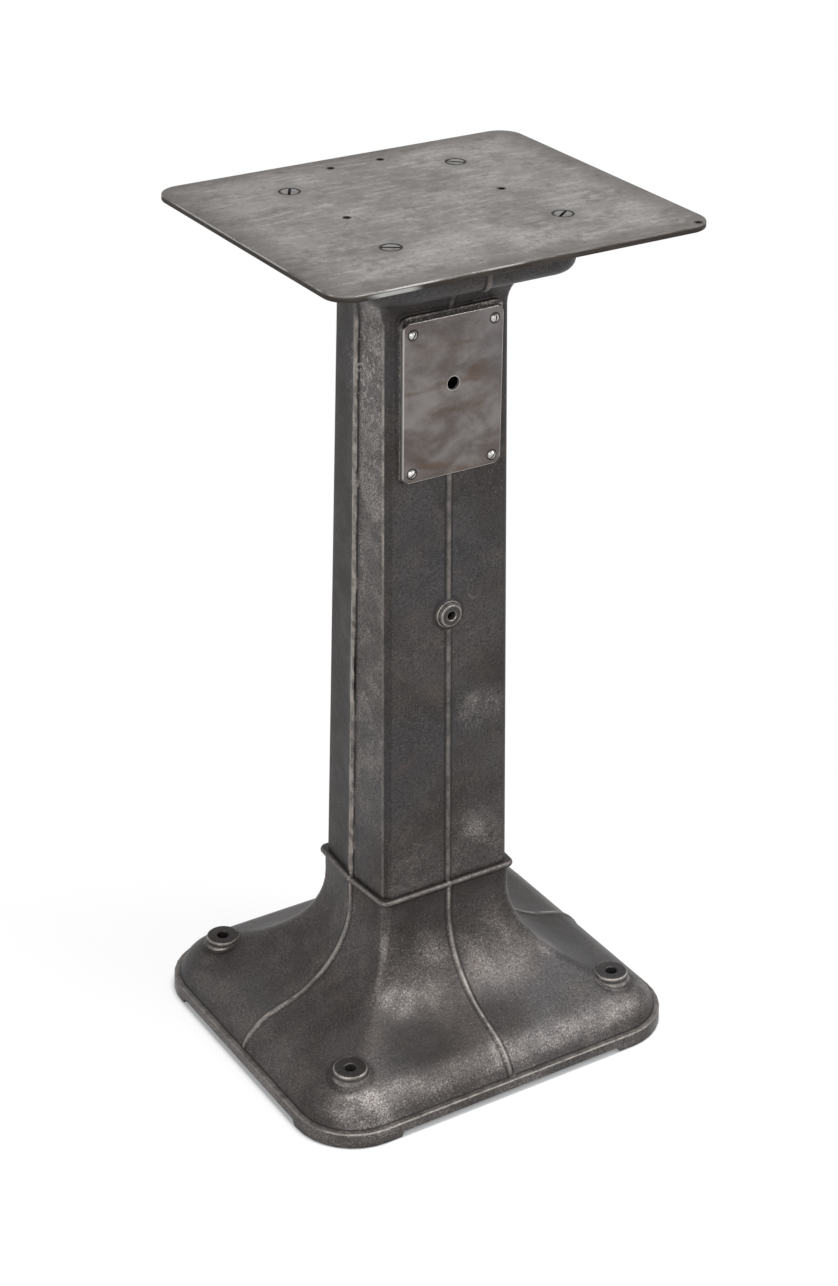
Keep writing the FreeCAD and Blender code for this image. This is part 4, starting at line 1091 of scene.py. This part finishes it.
def base_painted_sheen(finish, right_crest):
    """Painted sheen on the base: lighter skin where lamps would light the shoulders, corner ridges, rim
    side and flare.
    """
    (x, _, z), (facing_x, facing_y, facing_z) = finish.at, finish.facing
    # Painted highlight along the shoulders' crest, set by facing, strongest at the front.
    crest = band(facing_z, 0.69, 0.10, 0.20) * fall(z, 0.046, 0.058)
    crest = crest * (0.20 + rise(0 - facing_y, 0.1, 0.4) * 0.44)
    # Painted highlight on the corner ridges, set by facing, stronger on the right.
    ridge = rise(abs(facing_x * facing_y), 0.12, 0.34) * rise(z, 0.05, 0.08)
    ridge = ridge * fall(z, 0.13, 0.16) * (0.55 + rise(x, 0, 0.05) * 0.40)
    # Painted sheen on the rim's side and on faces turned to the left.
    rim_side = fall(z, RIM_HEIGHT - 0.001, RIM_HEIGHT) * 0.5
    left_sheen = rise(0 - facing_x, 0.3, 0.7) * rise(z, 0.06, 0.09) * 0.2
    # Painted highlights at given places on the flare, deck and front left corner.
    places = finish.spots(
        ((-0.068, -0.083, 0.075), 0.004, 0.030, 1), ((-0.026, -0.066, 0.102), 0.004, 0.032, 1),
        ((-0.052, -0.075, 0.084), 0.010, 0.055, 0.55), ((-0.102, 0.020, 0.073), 0.015, 0.060, 0.22),
        ((0.040, -0.072, 0.092), 0.010, 0.070, 0.5), ((-0.150, -0.160, 0.028), 0.014, 0.036, 1.2))
    return strongest(crest, ridge, rim_side, left_sheen, places, right_crest)


def base_marks(finish, side_shift, patches, clouds):
    """Bright wear with painted highlights, painted shade and painted sheen of the base: ribs, ring, rim,
    bolt seats, shoulders.
    """
    (_, y, z), (facing_x, _, _) = finish.at, finish.facing
    gap = near_rib(finish, side_shift)
    above_rim = rise(z, RIM_HEIGHT, RIM_HEIGHT + 0.001)
    seat_bright, seat_shade_and_dark_tops = seat_marks(finish)
    # Ribs worn bright with painted highlights; painted highlights on the ring's crest, the rim's top
    # edge, the bolt seats and the front rib's foot.
    bright = strongest(
        fall(gap, 0.0004, 0.0024) * above_rim * 0.74,
        band(z, NECK_TOP - 0.0018, 0.0006, 0.0013) * 0.38,
        band(z, RIM_HEIGHT - 0.0005, 0.0002, 0.0009) * 0.50,
        seat_bright, finish.spot((0.002, -0.1675, 0.0155), 0.001, 0.0045))
    # Painted highlight on the right flare's crest.
    right_crest = finish.spot((0.098, -0.074, 0.073), 0.004, 0.024) * 0.9
    # Painted shade on the right side, turned from the lamps.
    far_side = rise(facing_x, 0.10, 0.35) * rise(z, 0.03, 0.05) * rise(y, -0.090, -0.030) * 0.45
    # Painted shade beside the ribs, under the ring, at the ledge, round the seats, on the right side and
    # at two places on the deck; dark on the neck's top face; darker at the rim's foot.
    dirt_and_shade = strongest(
        band(gap, 0.0037, 0.0003, 0.0014) * above_rim * 0.55,
        rise(z, NECK_TOP - 0.0005, NECK_TOP - 0.0001) * 0.35,
        band(z, NECK_TOP - 2 * RING_RADIUS - 0.0006, 0.0003, 0.0012) * 0.6,
        band(z, RIM_HEIGHT + 0.0008, 0.0003, 0.0008) * 0.8,
        fall(z, 0.001, 0.006) * 0.35,
        seat_shade_and_dark_tops, far_side * (1 - right_crest),
        finish.spots(
            ((-0.070, -0.118, 0.052), 0.015, 0.055, 0.60),
            ((0.020, -0.125, 0.050), 0.010, 0.040, 0.48)))
    uneven = 0.45 + rise(patches * 0.5 + clouds * 0.5, 0.42, 0.6) * 0.75
    return bright, dirt_and_shade, (base_painted_sheen(finish, right_crest) * uneven).least(1)


def boss_marks(finish):
    """Painted highlights on the column's front boss's edges, and painted shade in its groove and round
    its foot.
    """
    x, y, z = finish.at
    out = distance(x, z - BOSS_HEIGHT)
    at_boss = fall(y, -column_face(BOSS_HEIGHT) - 0.0016, -column_face(BOSS_HEIGHT))
    bright = at_boss * strongest(
        band(out, BOSS_RADIUS - 0.0009, 0.0007, 0.0006),
        band(out, BOSS_COLLAR - 0.0006, 0.0002, 0.0006),
        band(out, BOSS_HOLE + 0.0004, 0.0002, 0.0004))
    # Painted shade in the groove and round the foot.
    groove = band(out, BOSS_RADIUS + 0.0006, 0.0002, 0.0006) * at_boss
    foot = band(out, BOSS_COLLAR + 0.0016, 0.0004, 0.0026) * fall(y, -0.040, -0.035) * 0.5
    return bright * 0.9, groove.most(foot)


def frame_marks(finish):
    """The cover's frame: where it is, its worn top edge with a painted highlight and bright flecks, and
    its darker face.
    """
    x, y, z = finish.at
    middle, half = (FRAME_TOP + FRAME_BOTTOM) / 2, (FRAME_TOP - FRAME_BOTTOM) / 2
    past = (abs(x) - FRAME_HALF_X).most(abs(z - middle) - half)
    on_frame = fall(y, 0.0005 - FRAME_FACE, 0.0012 - FRAME_FACE) * fall(past, 0.0004, 0.0007)
    at_top = rise(z, FRAME_TOP - 0.014, FRAME_TOP - 0.006)
    flecks = rise(finish.noise(480, 2, 0.6), 0.52, 0.62) * on_frame * at_top
    # Worn edge with a painted highlight, stronger near the top.
    edge = on_frame * rise(past, -0.0026, -0.0012) * (0.10 + at_top * 0.25) + flecks * 0.55
    return on_frame, edge, on_frame * (1 - edge) * 0.6


def rib_marks(finish, side_shift, plain, under_pan):
    """Ribs worn bright with painted highlights, painted shade beside them, and the left rib's ragged fin
    with a painted shadow along its front side.
    """
    x, y, _ = finish.at
    gap = near_rib(finish, side_shift)
    on_left = fall(x, -0.055, -0.050) * under_pan
    torn = y - (finish.noise(95, 3, 0.6) - 0.5) * 0.003
    # Ribs worn bright with painted highlights; the left rib is a pale ragged fin.
    bright = fall(gap, 0.0010, 0.0030) * plain * (0.75 + under_pan * 0.25) * 0.46
    bright = bright.most(band(torn, 0.0012, 0.0034, 0.0010) * on_left * 0.95)
    # Painted shade beside the ribs, and a painted shadow along the left fin's front side.
    dirt_and_shade = band(gap, 0.0035, 0.0003, 0.0013) * 0.6 * plain
    return bright, dirt_and_shade.most(band(torn, -0.0042, 0.0008, 0.0009) * on_left * 0.9)


def column_marks(finish, side_shift, patches, _):
    """Bright wear with painted highlights, painted shade and painted sheen of the column: ribs, upright
    corners, facets, boss and frame.
    """
    (x, y, z), (facing_x, facing_y, _) = finish.at, finish.facing
    on_facet = rise(abs(facing_x), 0.90, 0.97)
    on_front = fall(facing_y, -0.9, -0.8)
    under_pan = fall(z, COVE_START - 0.01, COVE_START + 0.01)
    on_frame, frame_edge, frame_darkening = frame_marks(finish)
    boss_place = (0, -column_face(BOSS_HEIGHT), BOSS_HEIGHT)
    plain = (1 - on_frame) * (1 - finish.spot(boss_place, 0.0135, 0.0165))
    boss_bright, boss_shade = boss_marks(finish)
    rib_bright, rib_shade = rib_marks(finish, side_shift, plain, under_pan)
    # Painted highlight along the rounded upright corners, set by facing, stronger higher up.
    corner = band(abs(facing_x), 0.905, 0.035, 0.045) * under_pan
    corner = corner * (0.30 + rise(z, 0.40, 0.56) * 0.55)
    mark = band(distance(x - 0.027, (z - 0.460) * 0.7), 0.0065, 0.0004, 0.0010)
    mark = mark * on_front * rise(patches, 0.40, 0.60) * 0.2
    scratch = band(z - 0.2155 + (x + 0.0315) * 0.5, 0, 0.0002, 0.0006)
    scratch = scratch * band(x, -0.0315, 0.003, 0.003) * on_front * 0.5
    scars = rise(finish.noise(170, 2, 0.5, 0.8), 0.570, 0.61) * on_facet
    scars = scars * finish.spot((-0.063, -0.026, 0.665), 0.016, 0.055)
    bright = strongest(rib_bright, corner, boss_bright, frame_edge, mark, scratch, scars)
    # Painted shade beside each corner and on the back halves of the sides, turned from the lamps.
    corner_shade = band(abs(facing_x), 0.50, 0.25, 0.15) * under_pan * 0.35
    back_facet = on_facet * rise(y, 0.004, 0.010) * (0.32 + rise(patches, 0.40, 0.62) * 0.30)
    dirt_and_shade = strongest(rib_shade, frame_darkening, boss_shade, corner_shade, back_facet)
    # Painted sheen on the front halves of the sides, at the foot of the front and at two places low on
    # the front.
    facet = on_facet * fall(y, -0.010, -0.004) * (0.57 + band(z, 0.655, 0.05, 0.10) * 0.60)
    facet = facet * (0.25 + rise(z, 0.19, 0.30) * 0.75)
    foot_sheen = fall(z, 0.18, 0.28) * on_front * 0.28
    places = finish.spots(
        ((0.032, -0.0536, 0.215), 0.008, 0.030, 0.75), ((0.034, -0.0510, 0.340), 0.006, 0.032, 0.6))
    uneven = 0.5 + rise(patches, 0.42, 0.62) * 0.7
    return bright, dirt_and_shade, (strongest(facet, places, foot_sheen) * uneven).least(1)


def plate_side(finish):
    """The colour of the work plate's sides: dark and streaked, with a painted highlight along the top
    edge, stronger on the left, and a painted glint on the front edge.
    """
    (x, _, z), (_, facing_y, _) = finish.at, finish.facing
    streaks = finish.noise(20, 5, 0.7, place=finish.stretched((1, 1, 10)))
    # Painted highlight along the top of the sides, stronger on the left.
    painted_edge_highlight = rise(z, plate_high.z - 0.0022, plate_high.z - 0.0008)
    painted_edge_highlight = painted_edge_highlight * (0.22 + fall(x + streaks * 0.08, -0.04, 0.08) * 0.78)
    # A painted glint on the front edge near the left corner.
    painted_glint = band(x + streaks * 0.012, -0.119, 0.012, 0.014) * fall(facing_y, -0.9, -0.7)
    painted_glint = painted_glint * fall(z, plate_high.z - 0.0026, plate_high.z - 0.0016)
    return finish.coated(
        finish.mix(painted_edge_highlight, (0.030, 0.024, 0.020), (0.34, 0.33, 0.32)),
        (rise(streaks, 0.49, 0.57) * 0.75, (0.050, 0.042, 0.036)),
        (painted_glint * 0.9, (0.36, 0.36, 0.35)))


def ground_steel(name):
    """The work plate's ground face: brushed, clouded, darker at its edges and round the screws, with
    painted shade in the screw gaps and the holes.
    """
    finish = Finish(name)
    (x, y, _), (_, _, facing_z) = finish.at, finish.facing
    brushed = finish.noise(34, 6, 0.75, place=finish.stretched((1, 4, 1), (0, 0, 0.12)))
    fine = finish.noise(230, 4, 0.75)
    clouds = finish.noise(13, 5, 0.62, 0.5)
    stains = finish.noise(48, 5, 0.7)
    half = (plate_high - plate_low) / 2
    far = (abs(x - PLATE_MIDDLE.x) / half.x).most(abs(y - PLATE_MIDDLE.y) / half.y)
    edge = rise(far + clouds * 0.25 + stains * 0.12, 0.97, 1.18)
    screws = four_places(SCREW_X, SCREW_Y, *SCREW_MIDDLE)
    reaches = [distance(x - across, y - back) for across, back in screws]
    top = finish.coated(
        finish.mix(rise(clouds, 0.32, 0.68), (0.112, 0.104, 0.098), (0.185, 0.175, 0.168)),
        (rise(brushed, 0.46, 0.66) * 0.55, (0.265, 0.252, 0.243)),
        (rise(stains, 0.5, 0.66) * 0.55, (0.085, 0.078, 0.072)),
        (rise(fine, 0.50, 0.66) * 0.50, (0.070, 0.064, 0.060)),
        (edge * 0.62, (0.056, 0.050, 0.045)),
        *((fall(reach + stains * 0.01, 0.010, 0.030) * 0.38, (0.070, 0.064, 0.058))
          for reach in reaches),
        *((finish.spot((across, back, plate_high.z), 0.0015, 0.0045) * 0.4, (0.06, 0.055, 0.05))
          for across, back in PLUG_PLACES))
    # Painted shade inside the fixing holes and the corner hole.
    painted_hole_shade = [
        finish.spots(
            ((across, back, plate_high.z), 0.0031, 0.0046, 0.95),
            ((across, back, PAN_TOP + 0.002), 0.0034, 0.0046, 0.95))
        for across, back in (*FIXING_HOLES, CORNER_HOLE_PLACE)]
    colour = finish.coated(
        top,
        (fall(facing_z, 0.55, 0.9), plate_side(finish)),
        # Painted shade: black rings in the gaps round the screw heads.
        *((fall(reach, 0.0094, 0.0098), (0.008, 0.007, 0.007)) for reach in reaches),
        *((hole, (0.010, 0.009, 0.008)) for hole in painted_hole_shade))
    rough = 0.54 + clouds * 0.14 + brushed * 0.10
    skin = finish.bump(brushed * 0.7 + fine * 0.3, 0.00014, 0.6)
    return finish.done(Base_Color=colour, Metallic=0.75, Roughness=rough, Normal=skin)


def stained_steel(name):
    """The cover's polished plate with brown and blue stains, painted highlights along its edges and
    round its hole, and painted shade round the screw heads.
    """
    finish = Finish(name)
    x, _, z = finish.at
    clouds = finish.noise(22, 5, 0.6, 0.4, finish.stretched((1, 1, 1.3), (0, 0.5, 0)))
    brown_place = finish.stretched((0.7, 1, 2.0), (0, -0.35, 0), (0.7, 0, 0.3))
    brown = finish.noise(18, 4, 0.55, 0.3, brown_place)
    blue_place = finish.stretched((1, 1, 1), (0, 0, 0), (0.2, 0.4, 0))
    blue = finish.noise(10, 3, 0.5, 0.2, blue_place)
    fine = finish.noise(450, 4, 0.7)
    rise_in_cover = z - COVER_CENTRE
    # Painted highlights along the cover's edges and round its hole.
    edge = strongest(
        rise(abs(x), 0.0480, 0.0486),
        rise(abs(rise_in_cover - COVER_TOP_MARGIN / 2), 0.0705, 0.0711),
        fall(distance(x, rise_in_cover - COVER_HOLE_RISE), COVER_HOLE + 0.0002, COVER_HOLE + 0.0008))
    # Painted shade round the screw heads.
    painted_screw_shade = [
        finish.spot((across, -COVER_FACE, height), 0.0045, 0.0056) * 0.95
        for across, height in four_places(COVER_SCREW_X, COVER_SCREW_Z, back=COVER_CENTRE)]
    colour = finish.coated(
        finish.mix(rise(clouds, 0.35, 0.66), (0.105, 0.088, 0.082), (0.205, 0.186, 0.180)),
        (rise(blue, 0.5, 0.7) * 0.35, (0.15, 0.155, 0.17)),
        (rise(brown, 0.50, 0.66) * 0.75, (0.098, 0.066, 0.048)),
        (rise(fine, 0.54, 0.78) * 0.25, (0.30, 0.28, 0.27)),
        (edge * 0.8, (0.50, 0.48, 0.46)),
        *((ring, (0.012, 0.010, 0.009)) for ring in painted_screw_shade))
    skin = finish.bump(fine, 0.00006, 0.4)
    return finish.done(
        Base_Color=colour, Metallic=0.85, Roughness=0.28 + clouds * 0.16, Normal=skin)


def screw_steel(name, light, dark):
    """Turned steel of the screws and bolts, spotted with a darker tone."""
    finish = Finish(name)
    fine = finish.noise(700, 3, 0.6)
    spots = finish.noise(160, 3, 0.6)
    colour = finish.coated(
        light, (rise(spots, 0.45, 0.65) * 0.6, dark), (rise(fine, 0.6, 0.8) * 0.3, dark))
    skin = finish.bump(fine, 0.00005, 0.4)
    return finish.done(Base_Color=colour, Metallic=0.9, Roughness=0.28 + spots * 0.2, Normal=skin)


def packed_dirt_and_shade(name):
    """Matt black in the screw slots: dirt and oil, and painted shade of the slot."""
    finish = Finish(name)
    lumps = finish.noise(900, 3, 0.6)
    colour = finish.mix(lumps, (0.004, 0.004, 0.004), (0.012, 0.010, 0.009))
    return finish.done(Base_Color=colour, Roughness=0.8 + lumps * 0.2, Specular_IOR_Level=0.05)


# ---------------------------------------------------------------- stage and light
def add_floor():
    """A white floor, with a painted grey shadow under the rim and painted black under the base; near the
    base it also shows its own soft shadow.
    """
    bpy.ops.object.select_all(action="DESELECT")
    bpy.ops.mesh.primitive_plane_add(size=30, location=(0, 0, 0))
    floor = bpy.context.object
    floor.name = "studio_floor"
    finish = Finish("studio_floor_white")
    past_x, past_y = (
        (abs(value) - (half - BASE_CORNER)).most(0)
        for value, half in zip(finish.at, (BASE_HALF_X, BASE_HALF_Y)))
    outside = distance(past_x, past_y) - BASE_CORNER
    # Painted grey shadow on the floor under the rim, and painted black further under the base.
    paper_and_painted_shadow = finish.mix(rise(outside, -0.0005, 0.002), (0.42, 0.43, 0.44), (0.9, 0.9, 0.9))
    paper_and_painted_shadow = finish.mix(fall(outside, -0.030, -0.020), paper_and_painted_shadow, (0.05, 0.05, 0.05))
    matt = finish.node("ShaderNodeBsdfPrincipled", inputs={
        "Base Color": paper_and_painted_shadow, "Roughness": 1.0, "Specular IOR Level": 0.0})
    glow = finish.node("ShaderNodeEmission", inputs={"Color": (1, 1, 1, 1), "Strength": 1.0})
    share = rise(outside, -0.022, -0.016) * 0.20 + rise(outside, 0.0005, 0.006) * 0.64
    share = share + rise(outside, 0.05, 0.6) * 0.16
    blend = finish.node("ShaderNodeMixShader", inputs={
        0: finish.seen_by("Camera", "Glossy") * share, 1: matt, 2: glow})
    finish.node("ShaderNodeOutputMaterial", inputs={"Surface": blend})
    floor.data.materials.append(finish.material)


def add_world():
    """A white world for the camera and for reflections, and a dimmer one for the rest."""
    world = bpy.data.worlds.new("studio_white")
    bpy.context.scene.world = world
    sky = Nodes(world)
    background = sky.node("ShaderNodeBackground", inputs={
        "Color": (1, 1, 1, 1),
        "Strength": 0.55 + sky.seen_by("Camera", "Transmission", "Glossy") * 0.45})
    sky.node("ShaderNodeOutputWorld", inputs={"Surface": background})


def add_light(name, place, target, size, power):
    """A soft square lamp aimed at a point."""
    bpy.ops.object.light_add(type="AREA", location=place)
    lamp = bpy.context.object
    lamp.name = name
    lamp.data.size = size
    lamp.data.energy = power
    aim = Vector(target) - Vector(place)
    lamp.rotation_euler = aim.to_track_quat("-Z", "Y").to_euler()


bpy.context.scene.view_settings.view_transform = "Standard"
add_camera()
add_world()
add_floor()
add_light("front_left_softbox", (-2.0, -1.7, 1.7), (0, 0, 0.35), 1.5, 42)
add_light("front_right_softbox", (1.35, -1.65, 2.0), (0, 0, 0.2), 0.9, 34)
add_light("overhead_softbox", (0.25, -0.30, 2.4), (0, -0.1, 0.0), 1.1, 38)

base_iron = cast_iron("base_cast_iron", BASE_RIB_SHIFT, base_marks)
column_iron = cast_iron("column_cast_iron", 0.0, column_marks)
plate_steel = ground_steel("ground_plate_steel")
cover_steel = stained_steel("stained_cover_steel")
plate_screw_steel = screw_steel("plate_screw_steel", (0.17, 0.162, 0.153), (0.065, 0.060, 0.055))
cover_screw_steel = screw_steel("cover_screw_steel", (0.55, 0.53, 0.51), (0.2, 0.19, 0.18))
bolt_steel = screw_steel("bolt_steel", (0.16, 0.15, 0.14), (0.06, 0.055, 0.05))
slot_dirt_and_shade = packed_dirt_and_shade("screw_slot_dirt_and_painted_shade")

finish_piece(make_base_casting(), base_iron, "base_casting")
finish_piece(make_column_casting(), column_iron, "column_casting")
finish_piece(make_top_plate(), plate_steel, "top_plate")
finish_piece(make_cover_plate(), cover_steel, "cover_plate", smooth=30)
place_copies(
    make_plate_screw(plate_screw_steel, slot_dirt_and_shade), "plate_screw",
    [(*place, plate_high.z) for place in four_places(SCREW_X, SCREW_Y, *SCREW_MIDDLE)],
    [(0, 0, math.radians(turn)) for turn in (58, -32, -45, 36)], plate_screw_steel, smooth=30)
place_copies(
    make_cover_screw(cover_screw_steel, slot_dirt_and_shade), "cover_screw",
    [(across, -COVER_FACE, height)
     for across, height in four_places(COVER_SCREW_X, COVER_SCREW_Z, back=COVER_CENTRE)],
    [(math.pi / 2, -math.radians(turn), 0) for turn in (65, 40, 80, 50)], cover_screw_steel,
    smooth=40)
for number in range(1, 5):
    for stem in ("joint_bolt", "joint_washer"):
        for material_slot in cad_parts[f"{stem}_{number}"].material_slots:
            material_slot.material = bolt_steel
